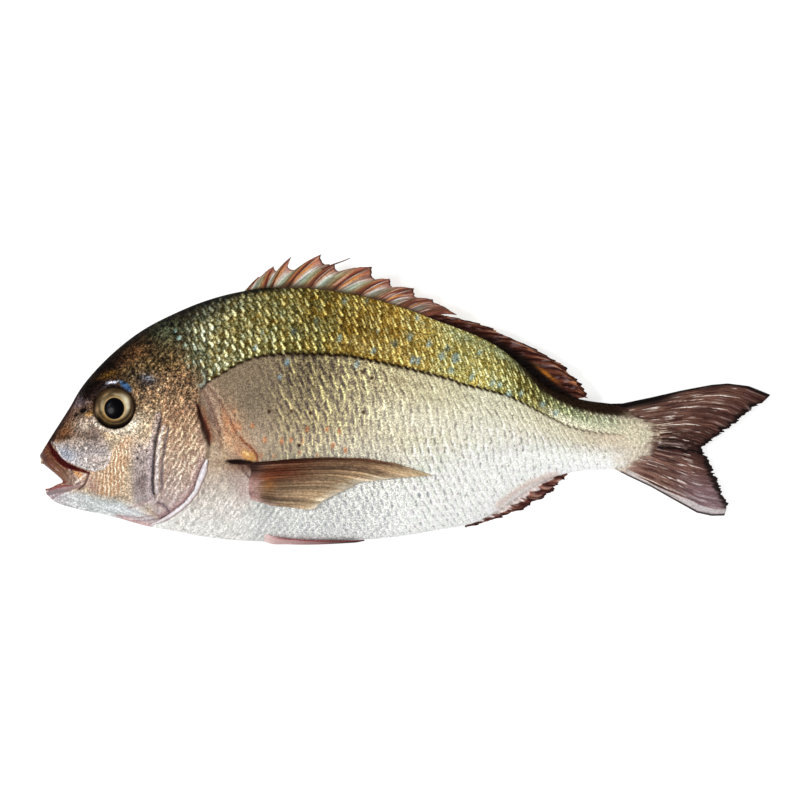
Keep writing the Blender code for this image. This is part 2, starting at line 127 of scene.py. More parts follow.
def ease(x, low, high):
    t = np.clip((x - low) / (high - low), 0.0, 1.0)
    return t * t * (3.0 - 2.0 * t)


def ramp(x, *stops):
    return np.interp(x, [s[0] for s in stops], [s[1] for s in stops])


def curve(table, x, column=1):
    """Monotone smooth curve through the rows of a table."""
    rows = np.array([[r[0], r[column]] for r in table], float)
    px, py = rows[:, 0], rows[:, 1]
    h = np.diff(px)
    d = np.diff(py) / h
    m = np.zeros(len(px))
    m[0], m[-1] = d[0], d[-1]
    w0, w1 = 2 * h[1:] + h[:-1], h[1:] + 2 * h[:-1]
    same = d[:-1] * d[1:] > 0
    safe0, safe1 = np.where(same, d[:-1], 1.0), np.where(same, d[1:], 1.0)
    m[1:-1] = np.where(same, (w0 + w1) / (w0 / safe0 + w1 / safe1), 0.0)
    x = np.clip(np.asarray(x, float), px[0], px[-1])
    i = np.clip(np.searchsorted(px, x, side="right") - 1, 0, len(h) - 1)
    t = (x - px[i]) / h[i]
    t2, t3 = t * t, t * t * t
    return ((2 * t3 - 3 * t2 + 1) * py[i] + (t3 - 2 * t2 + t) * m[i] * h[i]
            + (-2 * t3 + 3 * t2) * py[i + 1] + (t3 - t2) * m[i + 1] * h[i])


def hashed(i, j, seed):
    """Even random number from 0 to 1 for whole numbers i, j."""
    n = (i.astype(np.int64) * 374761393 + j.astype(np.int64) * 668265263
         + seed * 1442695041) & 0xFFFFFFFF
    n = ((n ^ (n >> 13)) * 1274126177) & 0xFFFFFFFF
    n = ((n ^ (n >> 16)) * 2246822519) & 0xFFFFFFFF
    return ((n ^ (n >> 15)) & 0xFFFFFF) / float(0xFFFFFF)


def noise(x, y, seed):
    """Smooth noise from -1 to 1 with cells of size 1."""
    x, y = np.broadcast_arrays(np.asarray(x, float), np.asarray(y, float))
    i, j = np.floor(x), np.floor(y)
    fx, fy = x - i, y - j
    sx, sy = fx * fx * (3 - 2 * fx), fy * fy * (3 - 2 * fy)
    a, b = hashed(i, j, seed), hashed(i + 1, j, seed)
    c, d = hashed(i, j + 1, seed), hashed(i + 1, j + 1, seed)
    return 2.0 * ((a + (b - a) * sx) * (1 - sy) + (c + (d - c) * sx) * sy) - 1.0


def clouds(x, y, seed, octaves=3):
    total, size, weight = 0.0, 1.0, 0.5
    for k in range(octaves):
        total = total + weight * noise(x * size, y * size, seed + 17 * k)
        size, weight = size * 2.03, weight * 0.55
    return total / 0.9


def near_line(x, y, points, closed=False):
    """Distance to a polyline and the share of its length at the nearest point."""
    pts = np.array(points, float)
    if closed:
        pts = np.vstack([pts, pts[:1]])
    spans = np.hypot(*np.diff(pts, axis=0).T)
    starts = np.concatenate([[0], np.cumsum(spans)])
    best = np.full(np.shape(x), 1e9)
    where = np.zeros(np.shape(x))
    for k in range(len(pts) - 1):
        ax, ay = pts[k]
        bx, by = pts[k + 1] - pts[k]
        t = np.clip(((x - ax) * bx + (y - ay) * by) / max(spans[k] ** 2, 1e-9), 0, 1)
        dist = np.hypot(x - ax - t * bx, y - ay - t * by)
        nearer = dist < best
        best = np.where(nearer, dist, best)
        where = np.where(nearer, (starts[k] + t * spans[k]) / starts[-1], where)
    return best, where


def within(x, y, points):
    pts = np.array(points, float)
    inside = np.zeros(np.shape(x), bool)
    for (ax, ay), (bx, by) in zip(pts, np.roll(pts, -1, axis=0)):
        crosses = (ay > y) != (by > y)
        at = ax + (y - ay) * (bx - ax) / (by - ay if by != ay else 1e-9)
        inside ^= crosses & (x < at)
    return inside


def depth_in(x, y, points):
    """Distance to the edge of an outline, positive inside."""
    dist, _ = near_line(x, y, points, closed=True)
    return np.where(within(x, y, points), dist, -dist)


def spot(x, y, cx, cy, rx, ry=None, turn=0.0):
    """Distance from a spot's middle, 1 at its rim."""
    ry = rx if ry is None else ry
    c, s = math.cos(math.radians(turn)), math.sin(math.radians(turn))
    dx, dy = x - cx, y - cy
    return np.hypot((dx * c + dy * s) / rx, (-dx * s + dy * c) / ry)


def bell(d, width=1.0):
    return np.exp(-(d / width) ** 2)


def crisp(n, edge=4.0):
    """Noise pushed towards -1 and 1, so that it reads as separate flecks."""
    return np.tanh(edge * n)


def smooth_line(points, count=80, passes=2):
    """Evenly spaced points on a smooth line near a polyline."""
    pts = np.array(points, float)
    for _ in range(passes):
        cut = [pts[0]]
        for a, b in zip(pts[:-1], pts[1:]):
            cut += [a * 0.75 + b * 0.25, a * 0.25 + b * 0.75]
        pts = np.array(cut + [pts[-1]])
    spans = np.sqrt((np.diff(pts, axis=0) ** 2).sum(1))
    at = np.concatenate([[0], np.cumsum(spans)])
    want = np.linspace(0, at[-1], count)
    return np.column_stack([np.interp(want, at, pts[:, k]) for k in range(pts.shape[1])])


# ---------------------------------------------------------------- body
def station_curves():
    key = np.sqrt(np.linspace(BODY_START, BODY_END, 1428) - BODY_START)
    table = [(math.sqrt(r[0] - BODY_START),) + r[1:] for r in BODY]
    xs = key ** 2 + BODY_START
    step = xs[1] - xs[0]
    reach = int(12 / step)
    kernel = np.exp(-0.5 * (np.arange(-reach, reach + 1) * step / 3.6) ** 2)
    kernel /= kernel.sum()
    rows = []
    for c in (1, 2, 3, 4):
        line = curve(table, key, c)
        soft = np.convolve(np.pad(line, reach, mode="edge"), kernel, mode="valid")
        keep = ease(xs, 16, 34) * (1 - ease(xs, 335, 345))
        rows.append(line * (1 - keep) + soft * keep)
    return xs, rows


STATION_X, STATION = station_curves()


def body_at(x):
    # read along the root of x, because the snout is blunt
    key = np.sqrt(np.clip(x, BODY_START, BODY_END) - BODY_START)
    base = np.sqrt(STATION_X - BODY_START)
    return tuple(np.interp(key, base, row) for row in STATION)


def middle_plane(x):
    return np.where(x > BODY_END, curve(TAIL_SAG, x), body_at(np.minimum(x, BODY_END))[3])


def half_thickness(x, y):
    back, belly, half, _ = body_at(x)
    centre = 0.5 * (back + belly)
    reach = np.maximum(0.5 * (back - belly), 1e-6)
    s = np.clip(np.abs(y - centre) / reach, 0, 1)
    taper = np.where(y > centre, BACK_TAPER, BELLY_TAPER)
    return half * np.sqrt(1 - s * s) ** taper


def ring_point(x, turn, side):
    """Point of the body at x, at an angle from the back (+90) to the belly (-90)."""
    back, belly, half, mid = body_at(x)
    centre, reach = 0.5 * (back + belly), 0.5 * (back - belly)
    s, c = np.sin(turn), np.maximum(np.cos(turn), 0.0)
    taper = np.where(s > 0, BACK_TAPER, BELLY_TAPER)
    return centre + reach * s, mid + side * half * c ** taper


def lateral_y(x):
    return (399.5 - curve(LATERAL, grid_u(x))) * UNIT


# ---------------------------------------------------------------- scales
ABOVE_PITCH = [(180, 7.6), (200, 7.8), (300, 8.1), (350, 8.0), (400, 7.3), (520, 7.0), (600, 6.4), (660, 6.0)]
BELOW_PITCH = [(190, 8.0), (250, 8.8), (300, 10.5), (350, 11.0), (400, 9.2), (450, 8.3),
               (500, 8.0), (550, 7.6), (590, 6.6), (630, 6.0), (670, 5.6)]
BREAST_PITCH = [(190, 7.2), (300, 8.4), (350, 8.7), (400, 8.2), (450, 7.9), (500, 7.6), (550, 7.2),
                (590, 6.4), (630, 5.8), (670, 5.4)]
ABOVE_ROW = [(180, 9.6), (430, 9.4), (520, 8.6), (600, 7.0), (660, 6.0)]
BELOW_ROW = [(190, 12.0), (230, 13.0), (300, 14.5), (400, 14.5), (430, 13.0), (450, 12.0),
             (500, 11.0), (550, 9.4), (590, 8.3), (630, 7.8), (670, 7.0)]


def columns_along(table):
    u = np.linspace(160, 680, 1600)
    step = 1.0 / ramp(u, *table)
    return u, np.concatenate([[0], np.cumsum(0.5 * (step[1:] + step[:-1]) * np.diff(u))])


ABOVE_COLUMNS, BELOW_COLUMNS, BREAST_COLUMNS = (columns_along(t) for t in (ABOVE_PITCH, BELOW_PITCH, BREAST_PITCH))
BREAST_SHIFT = np.interp(350, *BELOW_COLUMNS) - np.interp(350, *BREAST_COLUMNS)


def overlap(p, q, seed, bulge=1.0, power=2.2):
    """Shingled scales: distance to the free edge, place in the row, and a random
    number for the scale that lies on top at (p, q). The free edges face larger p."""
    best = None
    base = np.floor(q)
    for row in (base, base + 1):
        off = 0.5 * np.mod(row, 2)
        off = off + 0.16 * (hashed(row, row * 0 + 3, seed) - 0.5)
        dq = q - row
        edge = bulge * (1 - np.abs(dq) ** power)
        t = p - off - edge
        i = np.ceil(t)
        found = (i + off, i - t, dq, i, row)
        if best is None:
            best = found
        else:
            top = found[0] < best[0]
            best = tuple(np.where(top, b, a) for a, b in zip(best, found))
    _, e, dq, i, row = best
    return e, dq, hashed(i, row, seed + 5), hashed(i, row, seed + 9)


def straight(e, dq, bulge=1.0, power=2.2):
    """Distance from the tip of a scale's free edge, measured along the body only."""
    return e + bulge * np.abs(dq) ** power


def scale_places(u, arc_from_line, above):
    """Column and row numbers of the scale lattice."""
    if above:
        q = arc_from_line / (ramp(u, *ABOVE_ROW) * UNIT)
        p = np.interp(u, *ABOVE_COLUMNS) + 0.5 * q
    else:
        q = (arc_from_line + 0.0042 * arc_from_line ** 2) / (ramp(u, *BELOW_ROW) * UNIT)
        low = ease(arc_from_line, 14, 48)
        p = np.interp(u, *BELOW_COLUMNS) * (1 - low) + (np.interp(u, *BREAST_COLUMNS) + BREAST_SHIFT) * low
        p = p - 0.30 * np.minimum(q, 2.5) - 0.08 * q
    wob = 0.10 * noise(u * 0.09, arc_from_line * 0.16, 71)
    return p + wob, q + 0.10 * noise(u * 0.08 + 40, arc_from_line * 0.14, 72)


# ---------------------------------------------------------------- colours
class Coat:
    """Layered colours, 0 to 255 as seen on a screen, on a set of points."""
    def __init__(self, shape, colour):
        self.c = np.zeros(shape + (3,)) + np.array(colour, float)

    def over(self, colour, mask):
        self.c += (np.array(colour, float) - self.c) * np.clip(mask, 0, 1)[..., None]
        return self

    def blend(self, other, mask):
        self.c += (other - self.c) * np.clip(mask, 0, 1)[..., None]
        return self

    def light(self, factor):
        self.c *= factor[..., None]
        return self

    def linear(self):
        c = np.clip(self.c, 1.5, 250) / 255.0
        return np.where(c <= 0.04045, c / 12.92, ((c + 0.055) / 1.055) ** 2.4)


def tint(t, *stops):
    """Colour along a number: stops are (number, (r, g, b))."""
    at = [s[0] for s in stops]
    return np.stack([np.interp(t, at, [s[1][k] for s in stops]) for k in range(3)], axis=-1)


# outlines and lines of the head, on the drawing grid
OPERCLE = [(163, 399), (178, 388), (192, 380), (203, 384), (200.5, 398), (199.4, 412),
           (203, 429.7), (208.9, 444.4), (208.2, 456), (200.8, 470.8), (195.7, 488.4),
           (185.4, 501.6), (172.2, 511.8), (160, 518), (152, 508), (156, 498),
           (154.5, 480), (156, 455), (161, 425)]
OPERCLE_EDGE = [(201, 381), (200.2, 396), (199.4, 412), (203, 429.7), (208.9, 444.4), (208.2, 456.1),
                (200.8, 470.8), (195.7, 488.4), (185.4, 501.6), (172.2, 511.8), (156, 521)]
MEMBRANE = [(208, 459), (203.5, 471), (198.6, 485.4), (192, 497), (185, 504.5), (167.8, 517.7), (150, 525)]
PREOPERCLE = [(163.5, 414), (160.5, 425), (157, 441), (154.6, 462), (153.9, 480), (153.9, 491.3), (157.6, 501)]
PREOPERCLE_RIDGE = [(165, 426), (161.5, 440), (159, 458), (158, 478), (158.4, 492)]
LACHRYMAL = [(50, 442), (56, 445), (59, 453), (62.7, 458.7), (73, 464), (85, 469), (95.4, 471.6),
             (105.7, 469), (111, 462), (113, 452), (112, 443), (105, 436), (97, 433), (88, 431),
             (78, 433), (68, 438), (58, 442)]
LACHRYMAL_EDGE = [(52, 441), (56, 447), (59, 453), (62.7, 458.7), (73, 464), (85, 469), (95.4, 471.6),
                  (105.7, 469), (111, 462), (113, 454)]
LIP_GROOVE = [(48.5, 443), (53.2, 451), (60, 459.2), (66.5, 464.6), (76, 468.6), (90, 473)]
LIP_BAND = [(43, 446), (46, 452), (52, 460.5), (58.5, 467), (65, 473.5), (70, 481)]
CHEEK = [(126, 436), (138, 438), (139, 446), (129, 462), (124, 478), (121, 492), (112, 497), (96, 494),
         (88, 484), (88, 474), (100, 472), (110, 466), (115, 452)]
BLUE_SPOTS = [
    (256, 348, 2.4, .9), (263, 333, 2.0, .5), (294, 332, 3.4, .9), (317, 321, 3.0, .8), (340, 338.5, 3.0, .9),
    (345, 301.5, 3.0, .6), (288, 362.6, 3.0, 1.), (281, 377, 2.2, .9), (357, 365, 3.2, .9), (374, 351, 3.0, 1.),
    (394.5, 344.5, 3.8, .9), (410, 337, 3.4, .8), (412.6, 360.5, 3.4, 1.), (418, 361, 3.2, 1.), (417.5, 318, 3.0, .8),
    (429, 344, 3.2, .9), (447, 349, 3.2, .9), (442, 356, 3.8, .9), (455, 358.6, 4.6, 1.), (479, 353, 3.0, .7),
    (451, 371, 3.2, .9), (471.6, 377.5, 3.2, .9), (492, 383, 3.0, .9), (499, 385, 3.0, .8), (508.7, 393.7, 3.2, .9),
    (521, 393.7, 3.0, .8), (543, 404, 3.2, .7), (556, 413, 3.4, .7), (367, 300, 2.6, .5), (378, 331, 2.6, .5)]
ORANGE_DOTS = [(253.6, 425.5), (266, 439.7), (282.5, 441), (292, 439.7), (307.7, 429), (327.4, 429), (339.7, 431),
               (333.6, 445), (346, 450), (262, 455), (275, 456), (300, 452), (318, 455), (236, 410), (303, 441),
               (240, 428)]
DARK_SPECKS = [(292, 411), (311, 413), (270, 411), (364, 412), (363, 372), (300, 445), (372, 378)]


def fin_share(u, v):
    """How far the tail fin's skin has taken over from the scaled skin."""
    edge = np.interp(v, [396, 404, 411, 417, 424, 434, 443, 453, 459, 464, 470, 480],
                     [606, 616, 627, 641, 656, 656, 653, 652, 646, 637, 627, 612])
    ragged = 5.0 * noise(v * 0.30, u * 0.05, 26) + 4.0 * noise(v * 0.8, u * 0.22, 27)
    return ease(u - edge + ragged + 3 * ease(v, 431, 419) + 3 * ease(v, 450, 460), -6, 7)


def skin_field(x, y, arc, arc_line, share_up, share_down):
    """Relief height in mm and colour of the scaled skin and of the head."""
    u, v = grid_u(x), grid_v(y)
    w = arc_line - arc      # height over the lateral line, measured along the skin
    above = arc < arc_line
    away = np.abs(arc - arc_line)
    e1, d1, r1, s1 = overlap(*scale_places(u, away, True), 11, power=2.4)
    e2, d2, r2, s2 = overlap(*scale_places(u, away, False), 23)
    e, dq = np.where(above, e1, e2), np.where(above, d1, d2)
    rnd, rnd2 = np.where(above, r1, r2), np.where(above, s1, s2)
    fine = clouds(x * 1.3, w * 1.3, 5)
    grain = noise(x * 2.3, w * 2.3, 9)
    broad = clouds(x * 0.07, w * 0.07, 31)

    # where the scales begin, and how deep their relief is
    line_of_scales = np.interp(v, [300, 345, 380, 400, 440, 470, 500, 545],
                               [166, 184, 203, 214, 224, 222, 206, 196])
    scaled = ease(u - line_of_scales, -3, 7)
    lap = (1 - e) ** 1.2
    relief = scaled * (0.26 + 0.10 * rnd) * lap * (1 - 0.35 * np.abs(dq) ** 2)
    relief *= np.where(above, 1.0, ramp(u, (200, .18), (290, .28), (330, .40), (440, .55), (560, .60), (660, .35)))

    # ---------------- upper side: cream wedges over dark olive gaps
    s = straight(e1, d1, power=2.4)
    lean = s - 0.30 - 0.05 * d1 - 0.20 * (r1 - .5)
    short = ease(d1, .58, .20) * ease(d1, -.74, -.50)
    wedge = bell(lean, ramp(u, (200, .125), (290, .105), (340, .080)) + 0.14 * np.clip(-d1 + .15, 0, 1)) * short * (0.35 + 0.85 * s1)
    mate = bell(lean - 0.46 - .14 * (s1 - .5), 0.07 + 0.07 * np.clip(-d1 + .1, 0, 1)) * ease(np.abs(d1 + .3 * (r1 - .5) + .1), .60, .20) * (0.05 + 0.65 * r1)
    flake = clouds(x * 1.25 + w * 0.45, w * 0.95, 6)
    chip = noise(x * 1.15 + w * 0.3, w * 0.8, 13)
    shine = np.clip(1.25 * wedge + 1.0 * mate
                    + ramp(u, (180, .10), (230, .13), (320, .13), (380, .17), (430, .27), (490, .30), (520, .17), (560, .26), (600, .26))
                    - 0.12 * ease(np.abs(d1), .45, .95) + 0.10 * (r1 - .5)
                    + 0.34 * flake + 0.16 * chip + 0.10 * grain, 0, 1.2)
    wedge = np.clip(wedge + mate, 0, 1)
    hi = tint(u, (170, (150, 150, 116)), (200, (206, 206, 166)), (230, (220, 216, 166)), (280, (206, 198, 136)),
              (330, (206, 190, 112)), (370, (230, 206, 120)), (410, (240, 216, 134)), (450, (250, 238, 160)),
              (490, (252, 244, 172)), (525, (236, 232, 150)), (560, (238, 244, 178)), (600, (244, 242, 206)), (650, (244, 234, 208)))
    lo = tint(u, (170, (30, 26, 14)), (200, (52, 46, 22)), (230, (62, 54, 22)), (280, (62, 52, 14)),
              (330, (62, 48, 14)), (370, (82, 56, 10)), (410, (96, 70, 16)), (450, (104, 88, 30)),
              (490, (106, 96, 34)), (525, (62, 50, 12)), (560, (60, 60, 34)), (600, (96, 90, 70)), (650, (150, 136, 116)))
    warmth = noise(x * 0.85 + 7, w * 0.8, 14) + 0.6 * noise(x * 0.2, w * 0.2, 15)
    warmth = (warmth * ramp(u, (500, 1.), (540, .35)))[..., None]
    hi = hi + warmth * np.array([10, -2, -20])
    lo = lo + warmth * np.array([10, 2, -3])
    upper = lo + (hi - lo) * shine[..., None]
    near_line_glow = 1.0 + 0.10 * ease(share_up, .35, .05) - 0.02
    upper *= near_line_glow[..., None]
    # darker towards the back: the back's own darker skin, and from u 480 on also painted shade under the folded soft
    # dorsal fin
    upper *= (1 - ramp(u, (190, .62), (225, .52), (260, .20), (290, .0), (330, -.10), (380, .0), (430, .0), (480, .22), (510, .24), (540, .55), (660, .6)) * ease(share_up, ramp(u, (200, .66), (290, .60), (480, .50)), 1.0))[..., None]
    upper *= (1 + 0.09 * bell(u - 222, 26) * bell(share_up - .55, .22))[..., None]
    upper *= (1 + 0.22 * ramp(u, (330, 0), (430, 1), (485, 1), (500, 0)) * ease(share_up, .88, .97))[..., None]
    upper *= (1 - 0.70 * ease(share_up + .03 * noise(x * .8, w * .3, 33), .90, .99) * ease(u, 310, 262))[..., None]
    glow = ramp(u, (325, 0), (355, 1.), (410, .8), (450, 0)) * bell(share_up - .20, .14)
    upper += (np.array([220, 200, 146]) - upper) * (0.20 * glow)[..., None]
    upper *= (1 - .10 * bell(u - 362, 14) * bell(share_up - .5, .14))[..., None]
    near_cream = 0.78 * ease(u, 522, 572) * ease(share_up, .46, .12)
    upper += (np.array([226, 218, 190]) - upper) * near_cream[..., None]
    # strip of green glints under the soft dorsal fin and along the tail stem
    green = ease(u, 415, 470) * (1 - ease(u, 520, 545)) * bell(share_up - .88, .09)
    green = np.maximum(green, 0.8 * ease(u, 548, 575) * (1 - ease(u, 625, 640)) * bell(share_up - .38, .22))
    upper += (np.array([196, 216, 176]) - upper) * (green * np.clip(0.25 + 0.8 * wedge, 0, 1) * 0.75)[..., None]
    # black-brown strip along the back: the skin's own dark colour, and under the folded soft dorsal fin also its
    # painted shadow
    dark_back = ease(u, 500, 540) * ease(share_up, ramp(u, (505, .92), (540, .64), (600, .52), (640, .50)),
                                         ramp(u, (505, 1.04), (540, .84), (600, .70), (640, .70)))
    upper += (np.array([30, 18, 10]) - upper) * (0.93 * dark_back)[..., None]

    # ---------------- lower side: dark spindles between wavy cream lines
    s = straight(e2, d2)
    line_e = 0.36 + 0.03 * np.sin(5 * d2 + 6 * r2) + 0.20 * (s2 - .5) + ramp(u, (270, -.09), (330, -.06), (370, -.14), (400, -.27), (520, -.42)) * d2
    bold = ramp(u, (260, .6), (285, 1.0), (330, 1.1), (350, 1.05), (400, .80), (500, .75), (640, .5)) * (1 - ramp(u, (265, .42), (340, .30), (390, .22), (430, 0)) * ease(share_down, .26, .38)) * ramp(share_down, (.02, .6), (.10, 1.), (.6, 1.), (1., .75))
    torn = 0.11 * noise(x * 1.1, w * 0.9, 16)
    rim = bell(s - line_e + ramp(u, (300, .25), (430, .7)) * torn, ramp(u, (300, .052), (380, .060), (430, .075)) + 0.050 * s2) * ease(np.abs(d2), .95, .45)
    second = bell(s - line_e - 0.50, 0.07) * ease(np.abs(d2), .7, .2) * (r2 > .35)
    spindle = bell(s - line_e - 0.28 + torn, ramp(u, (300, .16), (380, .12), (420, .085)) + .03 * r2)
    spindle *= ease(np.abs(d2 + .2 * (s2 - .5)), ramp(u, (330, .75), (400, .60)), ramp(u, (330, .25), (400, .10)))
    flick = clouds(x * 1.2 + w * 0.45, w * 1.2 - x * 0.2, 7)
    flick2 = noise(x * 1.05 + w * 0.35, w * 0.75, 8)
    shine2 = np.clip(0.44 + bold * (0.80 * rim * (0.30 + 1.0 * s2) + second * 0.4) - (0.30 + .34 * bold) * spindle * (0.55 + 0.75 * r2)
                     + ramp(u, (260, .22), (340, .34), (420, .36), (600, .32)) * flick + 0.20 * flick2 + 0.12 * grain, 0, 1.25)
    b = share_down
    white = ease(b, ramp(u, (200, .50), (280, .42), (320, .34), (360, .24), (400, .16), (440, .06), (480, -.06), (600, -.05)),
                 ramp(u, (200, .88), (280, .84), (320, .80), (360, .76), (400, .74), (440, .68), (480, .58), (600, .7)))
    hi2 = tint(u, (200, (178, 156, 136)), (260, (196, 178, 136)), (310, (228, 210, 144)), (350, (244, 232, 166)),
               (400, (240, 228, 174)), (450, (246, 238, 192)), (500, (240, 238, 206)), (560, (234, 230, 204)), (620, (232, 214, 188)))
    lo2 = tint(u, (200, (112, 92, 76)), (260, (98, 84, 72)), (310, (90, 75, 67)), (350, (114, 98, 84)),
               (400, (150, 134, 92)), (450, (176, 164, 120)), (500, (190, 184, 148)), (560, (186, 178, 150)), (620, (188, 170, 146)))
    lower = lo2 + (hi2 - lo2) * shine2[..., None]
    hi3 = tint(b, (.2, (250, 244, 216)), (.5, (252, 252, 244)), (1., (252, 252, 248)))
    lo3 = tint(b, (.2, (170, 162, 126)), (.45, (176, 174, 154)), (.65, (190, 192, 182)), (.85, (208, 211, 207)), (1., (219, 221, 219)))
    belly = lo3 + (hi3 - lo3) * (0.26 + 0.90 * shine2)[..., None]
    lower += (belly - lower) * white[..., None]
    dashes = spindle * (0.55 + 0.6 * r2) * ramp(u, (230, .3), (300, .5), (380, 1.), (620, .8)) * ramp(b, (0, .7), (.2, 1.), (.8, .9), (1., .4))
    lower *= (1 - ramp(u, (380, .22), (430, .40), (560, .34), (600, .24)) * dashes)[..., None] * (1 + np.stack([0.01 * dashes, 0 * dashes, 0.06 * dashes], -1))
    between = ease(np.abs(d2), .62, 1.) * ramp(u, (370, 0), (430, 1), (560, 1), (610, .3)) * ramp(b, (.02, .5), (.10, 1.), (.6, 1.), (.9, .4))
    lower *= 1 - between[..., None] * np.array([.095, .072, .13])
    lower += np.array([0, 2, 11]) * (ramp(u, (360, 0), (400, 1), (480, 1), (520, 0)) * ease(b, .42, .30))[..., None]
    pinky = noise(x * .35, w * .5, 97) * ease(b, .15, .4) * ease(u, 380, 420)
    lower *= 1 + pinky[..., None] * np.array([.015, -.005, .012])
    # the taupe patch behind the gill cover is smooth, its scales hardly show
    lower *= (1 - 0.13 * ease(b, .66, .84) * ramp(u, (215, 0), (262, 1), (330, 1), (400, 0)))[..., None]
    lower *= (1 - 0.08 * ease(u, 236, 215) * bell(b - .65, .12))[..., None]
    lower *= (1 - 0.22 * bell(u - 308, 42) * ease(b, .42, .02))[..., None]
    smooth_patch = ease(u, 292, 256) * ease(b, .62, .45)
    plain = tint(b, (.0, (130, 113, 91)), (.25, (124, 110, 92)), (.45, (172, 150, 128)), (.6, (184, 166, 148)))
    streak = clouds(x * 1.6 + w * 0.5, w * 0.45, 77)
    plain = plain * (1 + 0.17 * streak + 0.07 * grain)[..., None]
    lower += (plain - lower) * (0.82 * smooth_patch)[..., None]
    pale = ramp(u, (270, .0), (300, .25), (350, .45), (390, 1.), (490, .9), (530, .4), (556, .0)) * bell(b - .28, .13)
    lower += (np.array([236, 232, 206]) - lower) * (0.36 * pale)[..., None]
    lower += (np.array([218, 208, 188]) - lower) * (0.26 * ramp(u, (265, .6), (300, 1.), (380, 1.), (420, 0)) * bell(b - .46, .10))[..., None]
    lower += (np.array([243, 244, 239]) - lower) * (0.42 * ease(u, 425, 480) * bell(b - .62, .17))[..., None]
    lower = lower * (1 + ramp(u, (430, .0), (500, .030), (560, .045), (640, .07)) * ease(b, .48, .68) + ramp(u, (605, .0), (625, .045), (645, .015)) * ease(b, .45, .25))[..., None]
    lower = lower * (1 + (ramp(u, (340, .0), (375, .028), (420, .035), (450, .022), (520, .026), (580, .010)) * bell(b - .33, .17))[..., None] * np.array([1.0, 1.15, 2.4]))
    lower = lower * (1 + .045 * bell(u - 305, 30) * ease(b, .66, .80))[..., None]
    # the flank under the pectoral fin and the tail stem turn pinkish
    lower += (np.array([216, 196, 178]) - lower) * (0.36 * ease(u, 575, 640) * bell(b - .42, .38))[..., None]

    coat = Coat(np.shape(x), (0, 0, 0))
    coat.c[:] = np.where(above[..., None], upper, lower)
    relief = relief - scaled * 0.06 * spindle * ~above
    coat.c *= 1 + (0.04 * above * bell(u - 212, 16) * ease(share_up, .75, .45))[..., None] * np.array([1.0, 1.05, 1.4])
    coat.c *= 1 + (0.14 * above * bell(u - 566, 22) * ease(share_up, .50, .25))[..., None] * np.array([1.0, 1.0, 1.3])
    coat.over((200, 208, 174), .34 * bell(share_up - .20, .10) * ease(u, 546, 580) * ease(u, 650, 625) * above)

    hatch_zone = ease(u, 345, 300) * ease(b, .60, .74) * ~above
    hatch = np.sin((u * 0.80 + v * 0.62) * 2 * math.pi / 5.2 + 2.6 * noise(u * .06, v * .08, 98)) * (0.6 + .6 * noise(u * .3, v * .3, 99))
    coat.c *= 1 - (0.085 * hatch_zone * np.clip(hatch, -1, 1))[..., None] * np.array([1.05, .95, .92])

    # ---------------- black dashes of the lateral line
    dash = np.abs(np.mod(np.interp(u, *ABOVE_COLUMNS), 1.0) - 0.5)
    width = ramp(u, (205, 1.1), (230, 1.5), (330, 1.9), (420, 1.6), (540, 1.2), (600, .8), (640, .4)) * UNIT * 0.95
    saw = np.mod(np.interp(u, *ABOVE_COLUMNS), 1.0) - 0.5
    on_line = bell(away * np.sign(arc_line - arc) + 1.1 * saw - 0.25 * noise(x * .5, w * 0, 4), width)
    on_line = on_line * (0.40 + 0.60 * ease(dash, .48, .22)) * ease(u, 201, 208) * ramp(u, (500, 1.), (560, .62), (620, .30), (650, .05))
    coat.over((24, 14, 5), np.clip(on_line * ramp(u, (210, 1.0), (300, 1.2)), 0, 1))
    relief = relief - 0.12 * on_line + 0.16 * bell(away - 1.6, 0.8) * ease(u, 205, 220)

    # ---------------- spots
    shade = 0.5 + 0.5 * np.clip(clouds(x * 1.4, w * 1.0, 88) * 2.0, -1, 1)
    for k, (su, sv, size, strength) in enumerate(BLUE_SPOTS):
        near = (np.abs(u - su) < 14) & (np.abs(v - sv) < 14)
        if not near.any():
            continue
        d = spot(u[near], v[near], su, sv, size, size * 1.35, 20)
        mask = ease(d + 0.30 * noise(u[near] * .8, v[near] * .8, 90 + k), 1.25, .55) * strength
        dark = (k in (2, 3, 10, 16))
        colour = (76, 92, 96) if dark else (128, 160, 178)
        c = coat.c[near]
        c += (np.array(colour) - c) * (0.68 * mask * (0.55 + 0.45 * shade[near]))[:, None]
        core = 0.4 * bell(spot(u[near], v[near], su - .5, sv + .6, 1.1, 2.2, 15), 1.0) * strength
        c += (np.array((160, 196, 214) if not dark else (60, 84, 92)) - c) * core[:, None]
        coat.c[near] = c
    for k, (su, sv) in enumerate(ORANGE_DOTS):
        near = (np.abs(u - su) < 8) & (np.abs(v - sv) < 9)
        if not near.any():
            continue
        d = spot(u[near], v[near], su, sv, 2.0, 3.4, 10)
        mask = ease(d + 0.3 * noise(u[near], v[near], 190 + k), 1.3, .4) * (0.85 if k < 9 else 0.5)
        c = coat.c[near]
        coat.c[near] = c + (np.array((206, 128, 82)) - c) * (mask * .8)[:, None]
    for su, sv in DARK_SPECKS:
        coat.over((58, 40, 30), 0.85 * ease(spot(u, v, su, sv, 2.1, 2.3), 1.2, .5))
    # scattered small black specks on the lower side
    cell_i, cell_j = np.floor(u / 7.0), np.floor(v / 7.0)
    lucky = hashed(cell_i, cell_j, 41)
    off_u = (cell_i + .2 + .6 * hashed(cell_i, cell_j, 42)) * 7.0
    off_v = (cell_j + .2 + .6 * hashed(cell_i, cell_j, 43)) * 7.0
    speck = ease(np.hypot((u - off_u) / 1.0, (v - off_v) / 1.6), 1.0, .3) * (lucky > ramp(v, (340, .86), (440, .80), (500, .88), (530, .97)))
    coat.over((84, 74, 62), speck * 0.62 * scaled * ~above)

